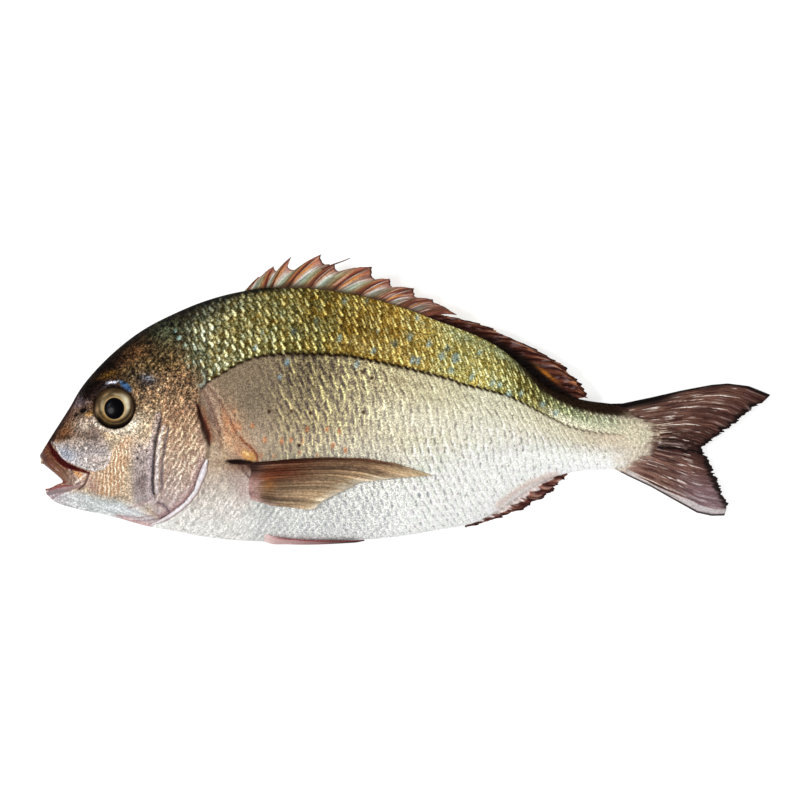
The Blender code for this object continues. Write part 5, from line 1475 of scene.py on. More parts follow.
thread = smooth_line([(x, y) for x, y in THREAD], 40)
thread = np.column_stack([thread, middle_plane(thread[:, 0]) + 0.2])
obj = tube("dorsal_thread", thread, np.linspace(0.55, 0.24, 40), FIN, thread_tone, sides=10)


# ---------------------------------------------------------------- tail fin
def tail():
    margin = [UPPER_TIP, UPPER_TIP_LOW]
    for k in range(1, 9):
        f = k / 9.0
        bow = 0.4 * math.sin(math.pi * f)
        margin.append((UPPER_TIP_LOW[0] + (FORK[0] - UPPER_TIP_LOW[0]) * f + bow * 0.5,
                       UPPER_TIP_LOW[1] + (FORK[1] - UPPER_TIP_LOW[1]) * f - bow * 0.3))
    margin.append(FORK)
    for k in range(1, 8):
        f = k / 8.0
        bow = 1.4 * math.sin(math.pi * f)
        margin.append((FORK[0] + (LOWER_TIP_HIGH[0] - FORK[0]) * f + bow * 0.4,
                       FORK[1] + (LOWER_TIP_HIGH[1] - FORK[1]) * f + bow * 0.2))
    margin += [LOWER_TIP_HIGH, LOWER_TIP]
    rays = 17

    def place(u, v):
        xy = patch(TAIL_TOP, TAIL_BOTTOM, TAIL_ROOT, margin, u, v)
        phase = u * rays * 2
        tooth = np.abs(np.mod(phase, 1.0) - 0.5) * 2
        rag = (0.9 * tooth + 2.2 * np.abs(noise(phase * 1.7, u * 0, 161)) + 1.2 * np.abs(noise(phase * 5, u * 0, 162)) - 0.9) * ease(v, .86, 1.0) * ease(u, .02, .08) * ease(u, .98, .92)
        x, y = xy[..., 0] - rag, xy[..., 1]
        lift = 0.35 * np.sin(2 * math.pi * u * rays) * v + 0.9 * np.sin(math.pi * (u * 2.2 + .3)) * v * v
        lift += 0.5 * noise(u * 9, v * 2.5, 163) * v
        return np.stack([x, y, middle_plane(x) + lift], -1)

    def thick(u, v):
        ray = 0.5 + 0.5 * np.cos(2 * math.pi * u * rays)
        twig = 0.5 + 0.5 * np.cos(2 * math.pi * u * rays * 3)
        edge = ease(np.minimum(u, 1 - u), .07, .015)
        root = 6.2 * ease(v, .46, .06) * np.sin(math.pi * np.clip(u, .03, .97)) ** .8
        return root * (v < .47) + (0.42 + 0.8 * ray * ease(v, .75, .2) + 0.4 * twig * ease(v, .3, .6) + 0.9 * edge) * (1 - 0.55 * v)

    def tone(u, v, p):
        x, y = p[..., 0], p[..., 1]
        gu, gv = grid_u(x), grid_v(y)
        f = clouds(u * 60, v * 7, 165)
        ray = 0.5 + 0.5 * np.cos(2 * math.pi * u * rays)
        twig = 0.5 + 0.5 * np.cos(2 * math.pi * u * rays * 3 + 2.2 * noise(u * 20, v * 3, 166))
        joints = 0.5 + 0.5 * np.sin(v * 190 + 4 * noise(u * 40, v * 2, 167))
        coat = Coat(np.shape(u), (0, 0, 0))
        upper = tint(v, (.0, (150, 124, 108)), (.25, (124, 94, 82)), (.6, (116, 86, 76)), (.85, (98, 68, 60)), (1, (70, 46, 42)))
        low = tint(v, (.0, (176, 152, 138)), (.25, (146, 114, 104)), (.6, (122, 92, 84)), (.85, (104, 74, 68)), (1, (78, 54, 50)))
        mid = tint(v, (.0, (170, 150, 132)), (.25, (84, 56, 46)), (.6, (68, 44, 38)), (1, (52, 34, 32)))
        body = ease(u, .30, .62)[..., None]
        c = upper + (low - upper) * body
        centre = bell(u - .52, .13)[..., None]
        coat.c[:] = c + (mid - c) * centre * 0.85
        fan = noise(u * rays * 4.2 + 1.5 * noise(u * 9, v * 3, 170), v * 4.0, 171)
        fine = noise(u * rays * 7.0, v * 9.0, 172)
        coat.over((168, 128, 112), 0.45 * ease(twig, .6, 1.0) * (0.35 + .75 * ease(f, -.2, .4)) * ease(v, .1, .25))
        coat.over((60, 34, 32), 0.50 * ease(fan, -.05, -.6) * ease(v, .12, .3))
        coat.c *= np.array([.94, .90, .87])
        hairline = noise(u * rays * 8.4 + 2.0 * noise(u * 9, v * 3, 170), v * 6.4, 175)
        coat.over((242, 232, 222), 0.92 * ease(hairline, .52, .70) * ease(v, .12, .25) * ease(v, .95, .8) * ease(f, -.3, .1))
        coat.over((44, 22, 20), 0.55 * ease(fine, -.25, -.6) * ease(v, .15, .3))
        coat.over((232, 224, 218), 0.35 * ease(fine, .45, .85) * ease(v, .15, .3))
        coat.over((140, 118, 128), 0.55 * ease(u, .68, .86) * ease(v, .45, .8))
        coat.over((24, 16, 16), 0.90 * ease(v + .030 * fan, ramp(u, (0, .985), (.12, .955), (.5, .93), (.6, .90), (1, .93)), ramp(u, (0, 1.0), (.12, .990), (.5, .975), (.6, .955), (1, .98))) * ease(u, .985, .93))
        coat.over((20, 12, 12), 0.90 * ease(u + .006 * fan, ramp(v, (0, .13), (.25, .075), (.45, .030), (1, .022)), ramp(v, (0, .06), (.25, .03), (.45, .010), (1, .006))) * ease(v, .02, .1))
        coat.over((214, 208, 206), 0.85 * ease(u + .03 * fan, ramp(v, (0, .88), (.3, .95), (1, .93)), ramp(v, (0, .93), (.3, .975), (1, .985))) * ease(v, .03, .15))
        coat.over((176, 168, 172), 0.6 * ease(u, .82, .95) * ease(v, .5, .72) * ease(v, .99, .88) * ease(fine + fan, -.6, .8))
        coat.over((40, 32, 32), 0.85 * ease(u, .984, .996))
        # scaled skin runs out over the base of the rays
        skirt = 1 - fin_share(gu, gv)
        e, dq, rnd, _ = overlap(gu / 5.2, gv / 6.4, 29)
        sk = tint(gv, (404, (120, 98, 80)), (416, (190, 174, 148)), (440, (220, 210, 182)), (460, (210, 196, 176)), (476, (220, 210, 200)))
        sk = sk * (0.93 + .10 * bell(straight(e, dq) - .4, .2) * 1.5 - .07 * rnd)[..., None]
        coat.blend(sk * (1 + 0.1 * f)[..., None], skirt)
        creep = bell(gu - 655, 10.5) * bell(gv - 436, 13) * (gu > 648)
        coat.over((212, 198, 172), 0.85 * creep * ease(fan + .6 * fine, -.25, .35))
        # fold across the middle of the fin: painted shadow in dark lines beside it and painted highlight in a white
        # line on its ridge
        fold, along = near_line(gu, gv, [(650, 441), (672, 444), (690, 447), (702, 450)])
        sway = 1.3 * noise(gu * .22, gv * 0, 174)
        coat.over((16, 9, 10), 0.9 * bell(near_line(gu, gv + sway, [(660, 446), (678, 449), (704, 452.5)])[0], 1.6 + .5 * noise(gu * .3, gv * 0, 176)))
        coat.over((30, 16, 14), 0.6 * bell(near_line(gu, gv + sway, [(664, 438), (676, 440.5), (700, 446)])[0], 1.5))
        coat.over((238, 232, 230), 0.95 * bell(near_line(gu, gv + sway, [(650, 440), (672, 443.5), (692, 447)])[0], .9) * ease(gu, 698, 684) * (0.55 + .6 * fine))
        coat.over((226, 216, 212), 0.8 * bell(near_line(gu, gv + sway, [(656, 448), (668, 451), (684, 457)])[0], .8) * (0.5 + .7 * fan))
        coat.over((16, 10, 9), 0.90 * ease(u, .12, .04) * ease(gu, 690, 655))
        coat.light(1 + 0.16 * f)
        return coat.linear()

    return fin_sheet("tail_fin_rays", place, 280, 100, thick, tone)


tail()


# ---------------------------------------------------------------- pectoral and pelvic fins
def pectoral(name, side, cols, rows):
    rays = 15

    def place(u, v):
        xy = patch(PECTORAL_TOP, PECTORAL_LOW, PECTORAL_BASE, PECTORAL_MARGIN, u, v)
        phase = u * rays
        tooth = np.abs(np.mod(phase, 1.0) - 0.5) * 2
        rag = (1.3 * tooth + 0.8 * noise(phase * 2, u * 0, 181)) * ease(v, .84, 1.0) * ease(u, .03, .12)
        x, y = xy[..., 0] - rag * 1.0, xy[..., 1] + 0.0
        flank = half_thickness(x, y)
        mid = middle_plane(x)
        wave = 0.30 * np.sin(2 * math.pi * u * rays) * ease(v, .1, .5) + 0.5 * noise(u * 6, v * 3, 183) * v
        if side > 0:
            rise = ease(v, 0, .22)
            return np.stack([x, y, mid + flank - 2.6 + 4.4 * rise + 0.6 * np.sin(math.pi * v) + wave], -1)
        lift = -2.2 + 2.4 * np.clip(v / 0.2, 0, 1)
        return np.stack([x, y, np.maximum(mid - flank - lift + 0.2 * wave, 0.85)], -1)

    def thick(u, v):
        ray = 0.5 + 0.5 * np.cos(2 * math.pi * u * rays)
        return (0.35 + 0.75 * ray * ease(v, .12, .34)) * (1.05 - 0.6 * v)

    def tone(u, v, p):
        f = clouds(u * 50, v * 6, 185)
        gu, gv = grid_u(p[..., 0]), grid_v(p[..., 1])
        hair = noise(u * rays * 2.6, v * 1.1, 188)
        strand = noise(u * rays * 5.6, v * 1.8, 189)
        g = clouds(u * 120, v * 3, 186)
        ray = 0.5 + 0.5 * np.cos(2 * math.pi * u * rays)
        twig = 0.5 + 0.5 * np.cos(2 * math.pi * (u * rays * 3 + .4 * noise(u * 12, v * 3, 187)))
        coat = Coat(np.shape(u), (0, 0, 0))
        coat.c[:] = tint(u, (0, (58, 28, 16)), (.10, (84, 48, 32)), (.25, (104, 70, 50)), (.5, (124, 95, 72)), (.75, (138, 112, 88)), (1, (150, 126, 106)))
        coat.over((188, 166, 132), 0.72 * ease(v, .62, 1.0) * ease(u, .04, .30))
        coat.over((204, 192, 164), 0.75 * ease(v + .08 * hair, .84, 1.0) * ease(u, .02, .2))
        coat.over((196, 160, 124), 0.50 * ease(hair, .15, .65) * ease(u, .0, .15))
        coat.over((50, 24, 16), 0.70 * ease(hair, -.06, -.5) * ease(u, 1.05, .4))
        coat.over((214, 190, 150), 0.30 * ease(strand, .2, .7) * ease(v, .3, .6))
        coat.over((66, 46, 34), 0.50 * ease(strand, -.12, -.5))
        coat.over((118, 104, 88), 0.35 * ease(ray, .3, 0.) * ease(u, .45, .7))
        coat.over((58, 34, 24), 0.60 * bell(np.mod(u * rays * 1.5 + .2 * hair, 1.0) - .5, .13) * ease(v, .05, .2) * ease(v, 1.0, .75))
        coat.over((168, 140, 110), 0.60 * ease(v, .72, .95) * ease(u, .5, .0))
        coat.over((116, 54, 34), 0.62 * bell(spot(gu, gv, 284, 472, 26, 7, 6), .9) * (0.7 + .5 * hair))
        coat.over((184, 128, 76), 0.72 * bell(spot(gu, gv, 270, 483, 7, 8, 0), .9))
        coat.over((90, 74, 60), 0.50 * ease(clouds(u * 22, v * 9, 190), .1, .5) * ease(u, .5, .75) * ease(v, .75, .5))
        root = gu + 4.5 * clouds(gu * .16, gv * .3, 192)
        coat.over((184, 152, 148), 0.92 * ease(root, 268, 256) * ease(gv + 1.5 * f, 468, 477))
        coat.over((128, 100, 100), 0.60 * ease(gu, 262, 252) * ease(clouds(gu * .3, gv * .3, 191), .0, .4))
        coat.over((46, 24, 20), 0.90 * ease(gu, 268, 254) * ease(gv, 474, 466))
        coat.over((40, 18, 12), 0.75 * ease(u, .06, .0) * ease(v, .98, .8))
        coat.over((222, 196, 196), 0.55 * ease(u, .93, .99) * ease(v, .6, .4))
        mesh = clouds(gu * .55, gv * .9, 193, 2)
        coat.c[:] = coat.c + (np.array((196, 178, 146)) - coat.c) * (ramp(v, (.3, .0), (.5, .26), (.75, .42), (1, .55)) * (1 + .5 * mesh))[..., None]
        coat.over((78, 44, 30), 0.55 * bell(u - .03, .05) * ease(v, .1, .3) * ease(v, .95, .7))
        coat.over((212, 206, 190), 0.75 * ease(v + .05 * hair + .04 * strand, .86, 1.0) * ease(u, .10, .35))
        deep = ramp(v, (0, .72), (.12, .78), (.3, .92), (.5, 1.02), (.8, 1.10))
        thin = crisp(noise(u * rays * 1.7 + .5 * noise(u * 6, v * 3, 194), v * 1.6, 195), 2.5)
        coat.c *= (1 + .12 * thin * ease(v, .04, .15) * ease(gu, 258, 268))[..., None]
        coat.c *= np.array([.965, .94, .915]) - (ease(gu, 330, 290) * ease(gv, 486, 474))[..., None] * np.array([.05, .10, .11])
        coat.over((196, 156, 136), .50 * bell(spot(gu, gv, 272, 464.5, 18, 2.8, -6), .9) * ease(thin, -.3, .6))
        coat.over((216, 200, 162), .42 * ease(gu, 384, 426))
        coat.over((136, 66, 38), 0.55 * bell(spot(gu, gv, 268, 476, 13, 5, 0), .9) * (.8 + .5 * hair))
        coat.light((deep + (1.0 - deep) * ease(gv, 472, 480) * ease(gu, 275, 262)) * ramp(u, (.0, 1.0), (.5, .96), (1, .94)) * (1 + 0.14 * f + .16 * mesh))
        return coat.linear()

    return fin_sheet(name, place, cols, rows, thick, tone)


def on_skin(x, turn, out):
    back, belly, half, mid = body_at(x)
    centre, reach = 0.5 * (back + belly), 0.5 * (back - belly)

    def ring(angle):
        s, c = np.sin(angle), np.cos(angle)
        taper = np.where(s > 0, BACK_TAPER, BELLY_TAPER)
        return centre + reach * s, mid + half * np.sign(c) * np.abs(c) ** taper

    y, z = ring(turn)
    y0, z0 = ring(turn - 0.03)
    y1, z1 = ring(turn + 0.03)
    ty, tz = y1 - y0, z1 - z0
    span = np.hypot(ty, tz)
    return x, y - out * tz / span, z + out * ty / span


def pelvic(name, side):
    rays = 6

    def place(u, v):
        x = PELVIC_ROOT + (PELVIC_TIP - PELVIC_ROOT) * v - 6.0 * u * v
        x = x - (1.2 * np.abs(np.mod(u * rays, 1) - .5) * 2) * ease(v, .85, 1.0)
        high = np.radians(PELVIC_HIGH) * (1.0 - 0.55 * v)
        away = high + (np.radians(PELVIC_LOW) - high) * u
        out = -1.6 + 3.0 * ease(v, 0, .2) + 0.3 * np.sin(2 * math.pi * u * rays) * ease(v, .1, .5)
        turn = -math.pi / 2 + side * away
        px, py, pz = on_skin(x, turn, out)
        return np.stack([px, py, np.maximum(pz, 0.8)], -1)

    def thick(u, v):
        ray = 0.5 + 0.5 * np.cos(2 * math.pi * u * rays)
        return (0.5 + 0.6 * ray) * (1.05 - 0.6 * v)

    def tone(u, v, p):
        f = clouds(u * 40, v * 8, 195)
        ray = 0.5 + 0.5 * np.cos(2 * math.pi * u * rays * 2)
        coat = Coat(np.shape(u), (0, 0, 0))
        coat.c[:] = tint(v, (0, (224, 196, 192)), (.35, (186, 150, 148)), (.6, (150, 116, 114)), (.82, (92, 72, 70)), (1, (40, 34, 34)))
        coat.over((120, 44, 48), 0.8 * ease(u, .26, .0) * ease(v, .1, .3))
        coat.over((236, 222, 220), 0.5 * ease(v, .22, .0))
        coat.over((214, 186, 182), 0.4 * ease(ray, .6, 1) * ease(v, .9, .5))
        coat.light(1 + 0.12 * f)
        return coat.linear()

    return fin_sheet(name, place, 60, 60, thick, tone)


pectoral("pectoral_left", 1, 200, 90)
pectoral("pectoral_right", -1, 110, 50)
pelvic("pelvic_left", 1)
pelvic("pelvic_right", -1)


# ---------------------------------------------------------------- eyes
def eye(name, side, node):
    """Flattened globe: pupil, gold rim, cream iris and dark olive ring, under a clear cornea."""
    rings, sides = 96, 110
    cx, cy = EYE_X, EYE_Y
    mid = float(middle_plane(np.array([EYE_X]))[0])
    r = np.linspace(0, 1, rings) ** 0.9
    a = np.linspace(0, 2 * math.pi, sides, endpoint=False)
    R, A = np.meshgrid(r, a, indexing="ij")
    outer = 12.15
    dist = outer * np.minimum(R / 0.86, 1.0) - np.clip(R - 0.86, 0, 1) * 1.2
    dome = 16.9 - 2.7 * (np.minimum(R / 0.86, 1.0)) ** 2 - 5.5 * ease(R, .80, 1.0) ** 1.0
    # radius of the pupil
    pupil_r = 5.55
    x = cx + dist * np.cos(A) * (1.0)
    y = cy + dist * np.sin(A)
    # square to the skin: it follows the slope of the head
    tilt_x = (float(half_thickness(np.array([EYE_X + 9.0]), np.array([EYE_Y]))[0]) - float(half_thickness(np.array([EYE_X - 9.0]), np.array([EYE_Y]))[0])) / 18.0
    tilt_y = (float(half_thickness(np.array([EYE_X]), np.array([EYE_Y + 9.0]))[0]) - float(half_thickness(np.array([EYE_X]), np.array([EYE_Y - 9.0]))[0])) / 18.0
    z = mid + side * (dome + (x - cx) * tilt_x * 0.9 + (y - cy) * tilt_y * 0.9)
    p = np.stack([x, y, z], -1)
    gu, gv = grid_u(x), grid_v(y)
    d = np.hypot(gu - 115.6, (gv - 408.4) / 1.06)
    fib = noise(A * 26 / math.pi, d * .12, 201)
    fib2 = clouds(A * 9, d * .35, 203)
    coat = Coat(np.shape(x), (0, 0, 0))
    # the iris is set a little high and to the right of the pupil
    di = np.hypot(gu - 116.4, gv - 405.6)
    coat.c[:] = tint(di, (0, (128, 112, 88)), (11.5, (154, 138, 110)), (13.0, (138, 120, 92)), (14.6, (112, 92, 68)),
                     (17.0, (84, 66, 48)), (18.8, (58, 42, 29)), (20.2, (32, 22, 14)), (22, (16, 10, 7)))
    right = ease(gu + .35 * (gv - 408), 112, 121)
    coat.over((226, 218, 194), 0.95 * bell(di - 12.4, 2.3) * right)
    coat.over((206, 192, 160), 0.85 * bell(di - 13.2, 2.0) * ease(gu, 110, 102) * ease(gv, 396, 402))
    coat.over((236, 230, 212), 0.8 * bell(spot(gu, gv, 128.0, 403, 3.4, 8, -20), .9))
    coat.over((196, 166, 130), 0.85 * bell(spot(gu, gv, 99.0, 409, 3.2, 8, 8), .9))
    coat.over((58, 40, 24), 0.8 * bell(di - 16.2, 1.2) * ease(gv, 396, 408) * (0.7 + .5 * fib2))
    coat.over((176, 150, 104), 0.7 * bell(di - 17.9, .9) * ease(gv, 408, 418))
    coat.over((160, 128, 70), 0.65 * bell(spot(gu, gv, 108, 420, 6, 3, 40), .9))
    coat.over((120, 74, 44), 0.55 * bell(spot(gu, gv, 106, 392, 7, 4, -40), .9))
    # painted shade over the top of the eye, with two soft painted reflections on it
    coat.over((46, 34, 20), 0.80 * ease(gv + 0.25 * (gu - 115), 402, 391))
    coat.over((168, 152, 118), 0.6 * bell(spot(gu, gv, 106, 395.5, 7, 1.8, -38), .9))
    coat.over((196, 186, 160), 0.5 * bell(spot(gu, gv, 118, 394.5, 5, 1.5, 10), .9))
    coat.light(1 + 0.12 * fib + 0.08 * fib2)
    coat.c *= (1 - ramp(di, (10, .06), (13, .14), (17, .24), (21, .15)) * ease(gv, 394, 402))[..., None] * np.array([1.0, .98, .92])
    coat.light(1 - .26 * ease(gv, 414, 421))
    coat.over((188, 152, 92), 0.75 * bell(d - 10.7, .65))
    coat.over((150, 108, 52), 0.6 * bell(d - 12.2, .5) * ease(gv, 404, 416))
    coat.over((5, 5, 8), ease(d, 10.4, 9.7))
    # painted glint in the pupil: a faint halo and a small grey wisp
    coat.over((16, 18, 22), 0.5 * bell(spot(gu, gv, 111, 405, 5, 4, 0), .8))
    coat.over((84, 88, 94), 0.62 * bell(spot(gu, gv, 110.6, 405, 3.4, 1.4, -58), .8) * (0.8 + .3 * fib2))
    tone = coat.linear()
    quads = []
    i, j = np.meshgrid(np.arange(1, rings - 1), np.arange(sides), indexing="ij")
    j2 = (j + 1) % sides
    a0 = 1 + (i - 1) * sides
    quads = np.stack([a0 + j, a0 + j2, a0 + sides + j2, a0 + sides + j], -1).reshape(-1, 4)
    k = np.arange(sides)
    tri = np.stack([np.zeros(sides, int), 1 + (k + 1) % sides, 1 + k], -1)
    co = np.vstack([p[0, :1], p[1:].reshape(-1, 3)])
    colour = np.vstack([tone[0, :1], tone[1:].reshape(-1, 3)])
    # closed behind by a flat disc
    back = np.array([[cx, cy, mid + side * 7.0]])
    co = np.vstack([co, back])
    colour = np.vstack([colour, tone[-1, :1]])
    last = 1 + (rings - 2) * sides
    tri2 = np.stack([np.full(sides, len(co) - 1), last + k, last + (k + 1) % sides], -1)
    if side > 0:
        quads, tri, tri2 = quads[:, ::-1], tri[:, ::-1], tri2[:, ::-1]
    obj = make_object(name, co, [quads, tri, tri2], EYE, tone=colour)
    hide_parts(node)
    return obj


eye("globe_left", 1, "eye_left")
eye("globe_right", -1, "eye_right")


# ---------------------------------------------------------------- mouth
def lip_path(points, count=120, lift=0.0):
    """Path from the left corner of the jaw round the front to the right corner."""
    pts = []
    for x, y, share in points:
        mid = float(middle_plane(np.array([x]))[0])
        half = float(half_thickness(np.array([x]), np.array([y]))[0])
        pts.append((x, y, mid + share * (half + lift)))
    mirrored = [(x, y, 2 * float(middle_plane(np.array([x]))[0]) - z) for x, y, z in pts[::-1]]
    if abs(points[-1][2]) < 1e-6:
        mirrored = mirrored[1:]
    return smooth_line(pts + mirrored, count, passes=3)


def upper_lip_tone(T, A, p):
    x = p[..., 0]
    coat = Coat(np.shape(T), (0, 0, 0))
    coat.c[:] = tint(x, (0, (70, 38, 30)), (3, (80, 44, 33)), (6, (98, 56, 40)), (10, (112, 70, 50)), (14, (126, 90, 72)), (19, (148, 124, 110)))
    coat.light(1 + 0.14 * clouds(p[..., 0] * .9, p[..., 1] * .9, 211) + .08 * noise(A * 3, T * 60, 212))
    return coat.linear()


def lower_lip_tone(T, A, p):
    coat = Coat(np.shape(T), (0, 0, 0))
    coat.c[:] = tint(p[..., 0], (3, (116, 96, 101)), (8, (136, 117, 119)), (14, (140, 120, 119)), (22, (162, 132, 127)))
    up = p[..., 1] + 53.3 - (p[..., 0] - 5.7) * 0.213
    coat.over((142, 74, 72), 0.8 * ease(up, .6, 1.8))
    coat.over((150, 124, 128), 0.6 * ease(up, -1.0, -2.0))
    coat.light(1 + 0.08 * clouds(p[..., 0] * .9, p[..., 1] * .9, 214))
    return coat.linear()


path = lip_path([(18.2, -47.6, .98), (16.6, -46.0, .97), (14.8, -44.0, .96), (11.2, -40.4, .94), (7.2, -37.2, .86),
                 (4.2, -34.2, .66), (2.9, -32.6, .3), (2.7, -32.2, 0.0)], 140, lift=0.7)
t = np.linspace(0, 1, 140)
radius = 1.3 + 1.35 * ease(np.minimum(t, 1 - t), 0.0, .20)
obj = tube("upper_lip", path, radius, LIP, upper_lip_tone, sides=28, wrinkle=.05, seed=4)

path = lip_path([(24.0, -49.4, .97), (20.0, -50.0, .96), (15.0, -50.9, .93), (10.6, -51.4, .88), (7.6, -52.6, .7), (6.0, -53.2, .35), (5.7, -53.3, 0.0)], 140)
radius = 0.8 + 1.45 * ease(np.minimum(t, 1 - t), 0.0, .22)
obj = tube("lower_lip", path, radius, LIP, lower_lip_tone, sides=28, wrinkle=.05, seed=6)


def mouth_lining():
    """Hollow skin of the mouth from the left edge of the gape to the right one."""
    line = smooth_line([(0.9, -35.4), (1.8, -36.6), (9.8, -43.0), (14.6, -47.2), (10.4, -48.6), (6.2, -51.0), (4.2, -51.4)], 110)
    d = np.gradient(line, axis=0)
    d /= np.linalg.norm(d, axis=1, keepdims=True)
    out = np.column_stack([-d[:, 1], d[:, 0]])
    if out[30, 1] < 0:
        out = -out
    w = np.linspace(-1, 1, 41)
    L, W = np.meshgrid(np.arange(110), w, indexing="ij")
    share = ease(np.minimum(np.arange(110), 109 - np.arange(110)), 0, 22)[:, None]
    deep = (5.0 * share) * (1 - W ** 2)
    x = line[:, :1] + out[:, :1] * deep
    y = line[:, 1:] + out[:, 1:] * deep
    half = half_thickness(line[:, 0], line[:, 1])[:, None]
    z = middle_plane(line[:, 0])[:, None] + W * (half - 0.05)
    p = np.stack([x, y, z + 0 * x], -1)
    coat = Coat(np.shape(W), (0, 0, 0))
    coat.c[:] = tint(np.abs(W), (0, (70, 16, 12)), (.6, (96, 26, 20)), (.9, (150, 78, 66)), (1, (170, 110, 96)))
    coat.light(1 + .15 * clouds(x, z, 221))
    obj = make_object("mouth_lining", p, [grid_faces(110, 41)], FLESH, tone=coat.linear())
    return obj


mouth_lining()


def teeth():
    """Row of small pointed teeth on each jaw."""
    co, quads, tris, tones = [], [], [], []
    rng = np.random.default_rng(12)
    rows = ((lip_path([(15.0, -45.6, .80), (10.4, -41.8, .78), (6.6, -38.6, .7), (4.0, -35.9, .45), (3.4, -35.2, 0.0)], 30), (-0.25, -1.0)),
            (lip_path([(14.0, -49.2, .80), (10.4, -49.4, .76), (7.8, -50.2, .6), (6.4, -50.9, .3), (6.2, -51.0, 0.0)], 26), (-0.15, 1.0)))
    start = 0
    for path, (dx, dy) in rows:
        for k, point in enumerate(path):
            h = rng.uniform(0.7, 1.3)
            r = rng.uniform(0.22, 0.34)
            sides = 8
            n_rings = 5
            for m in range(n_rings):
                f = m / n_rings
                rr = r * (1 - f) ** 0.7
                c = point + np.array([dx, dy, 0]) * (h * f - 0.5)
                for s in range(sides):
                    a = 2 * math.pi * s / sides
                    co.append((c[0] + rr * math.cos(a), c[1] + 0.2 * rr * math.sin(a), c[2] + rr * math.sin(a)))
                    tones.append((214 - 30 * (1 - f), 200 - 40 * (1 - f), 178 - 50 * (1 - f)))
            for m in range(n_rings - 1):
                for s in range(sides):
                    a, b = start + m * sides + s, start + m * sides + (s + 1) % sides
                    quads.append((a, b, b + sides, a + sides))
            tip = point + np.array([dx, dy, 0]) * (h - 0.5)
            co.append(tuple(tip)); tones.append((222, 210, 190))
            co.append(tuple(point - np.array([dx, dy, 0]) * 0.5)); tones.append((150, 100, 84))
            top = start + n_rings * sides
            for s in range(sides):
                a, b = start + (n_rings - 1) * sides + s, start + (n_rings - 1) * sides + (s + 1) % sides
                tris.append((a, b, top))
                tris.append((start + (s + 1) % sides, start + s, top + 1))
            start = top + 2
    obj = make_object("jaw_teeth", np.array(co), [np.array(quads), np.array(tris)], TOOTH, tone=srgb(np.array(tones, float)))


teeth()


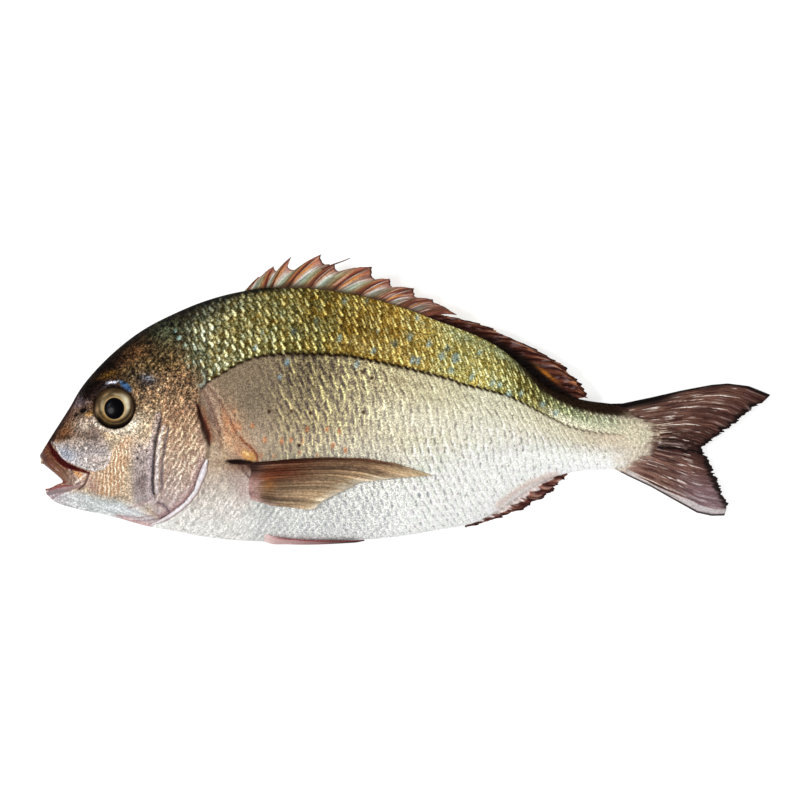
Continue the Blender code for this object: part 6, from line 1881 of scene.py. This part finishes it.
# ---------------------------------------------------------------- gill membrane
def membrane(side):
    """Smooth white skin that lines the lower hind edge of the gill cover."""
    label = "left" if side > 0 else "right"
    line = smooth_line([from_grid(u, v) for u, v in MEMBRANE], 110)
    d = np.gradient(line, axis=0)
    d /= np.linalg.norm(d, axis=1, keepdims=True)
    out = np.column_stack([-d[:, 1], d[:, 0]])
    if out[40, 0] < 0:
        out = -out
    t = np.linspace(0, 1, 110)
    width = UNIT * np.interp(t, [0, .12, .35, .6, .85, 1], [1.3, 4.4, 4.0, 3.3, 2.0, .5])
    w = np.linspace(-1, 1, 25)
    W = np.tile(w, (110, 1))
    wobble = 0.16 * noise(t * 16, t * 0, 231)[:, None]
    x = line[:, :1] + out[:, :1] * (width[:, None] * (W + wobble))
    y = line[:, 1:] + out[:, 1:] * (width[:, None] * (W + wobble))
    rise = 0.75 * np.sqrt(np.clip(1 - W ** 2, 0, 1)) - 0.15
    rise += 0.10 * noise(t * 30, t * 0, 232)[:, None] * (1 - W ** 2)
    z = middle_plane(x) + side * (half_thickness(x, y) + rise)
    z = np.maximum(z, 0.1)
    p = np.stack([x, y, z], -1)
    under = p.copy()
    under[..., 2] -= side * 1.0
    under[..., 2] = np.maximum(under[..., 2], 0.05)
    co = np.concatenate([p.reshape(-1, 3), under.reshape(-1, 3)])
    count = 110 * 25
    f1, f2 = grid_faces(110, 25), grid_faces(110, 25, flip=True, start=count)
    idx = np.arange(count).reshape(110, 25)
    loop = np.concatenate([idx[:, 0], idx[-1, 1:], idx[-2::-1, -1], idx[0, -2:0:-1]])
    nxt = np.roll(loop, -1)
    wall = np.stack([loop, nxt, nxt + count, loop + count], -1)[:, ::-1]
    faces = [f1, f2, wall]
    probe = np.cross(p[41, 12] - p[40, 12], p[40, 13] - p[40, 12])[2] * side
    if probe < 0:
        faces = [f[:, ::-1] for f in faces]
    coat = Coat(np.shape(W), (0, 0, 0))
    coat.c[:] = tint(W, (-1, (150, 120, 116)), (-.6, (204, 188, 190)), (.0, (236, 232, 236)), (.5, (214, 206, 208)), (1, (150, 124, 116)))
    coat.light(1 + .16 * clouds(x * .9, y * .9, 233))
    tone = coat.linear()
    obj = make_object(f"gill_membrane_{label}", co, faces, LIP, tone=np.concatenate([tone.reshape(-1, 3)] * 2))


membrane(1)
membrane(-1)


# ---------------------------------------------------------------- studio
def studio():
    mat, tree, shader = new_material("pale_floor")
    shader.inputs["Base Color"].default_value = (0.60, 0.60, 0.60, 1)
    shader.inputs["Roughness"].default_value = 0.9
    shader.inputs["Specular IOR Level"].default_value = 0.0
    shader.inputs["Emission Color"].default_value = (1, 1, 1, 1)
    shader.inputs["Emission Strength"].default_value = 0.62
    bpy.ops.mesh.primitive_plane_add(size=6.0, location=(0, 0, -0.0002))
    floor = bpy.context.object
    floor.name = "floor"
    floor.data.materials.append(mat)

    world = bpy.data.worlds.new("studio")
    world.use_nodes = True
    world.node_tree.nodes["Background"].inputs["Color"].default_value = (1.0, 1.0, 1.0, 1)
    world.node_tree.nodes["Background"].inputs["Strength"].default_value = 0.52
    bpy.context.scene.world = world

    def lamp(name, place, aim, size, watts, colour=(1, 1, 1)):
        data = bpy.data.lights.new(name, "AREA")
        data.shape = "DISK"
        data.size = size
        data.energy = watts
        data.color = colour
        obj = bpy.data.objects.new(name, data)
        obj.location = place
        direction = np.array(aim, float) - np.array(place, float)
        obj.rotation_euler = Vector(direction).to_track_quat("-Z", "Y").to_euler()
        bpy.context.scene.collection.objects.link(obj)
        return obj

    lamp("key", (-1.25, 0.25, 1.55), (0, 0, 0), 0.42, 21.0)
    lamp("fill", (0.9, -0.5, 1.5), (0, 0, 0), 1.0, 6.5)

    camera = bpy.data.cameras.new("camera")
    camera.sensor_width = 36.0
    distance = 4.0
    view_width = 800 * UNIT * MM
    camera.lens = 36.0 * (distance - 0.02) / view_width
    camera.clip_end = 20.0
    holder = bpy.data.objects.new("camera", camera)
    holder.location = (((400 - 40) * UNIT - MID_X) * MM, ((399.5 - 400) * UNIT - MID_Y) * MM, distance)
    bpy.context.scene.collection.objects.link(holder)
    bpy.context.scene.camera = holder
    bpy.context.scene.view_settings.view_transform = "Standard"


studio()

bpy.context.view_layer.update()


def plain(box):
    return [[float(a) for a in corner] for corner in box]
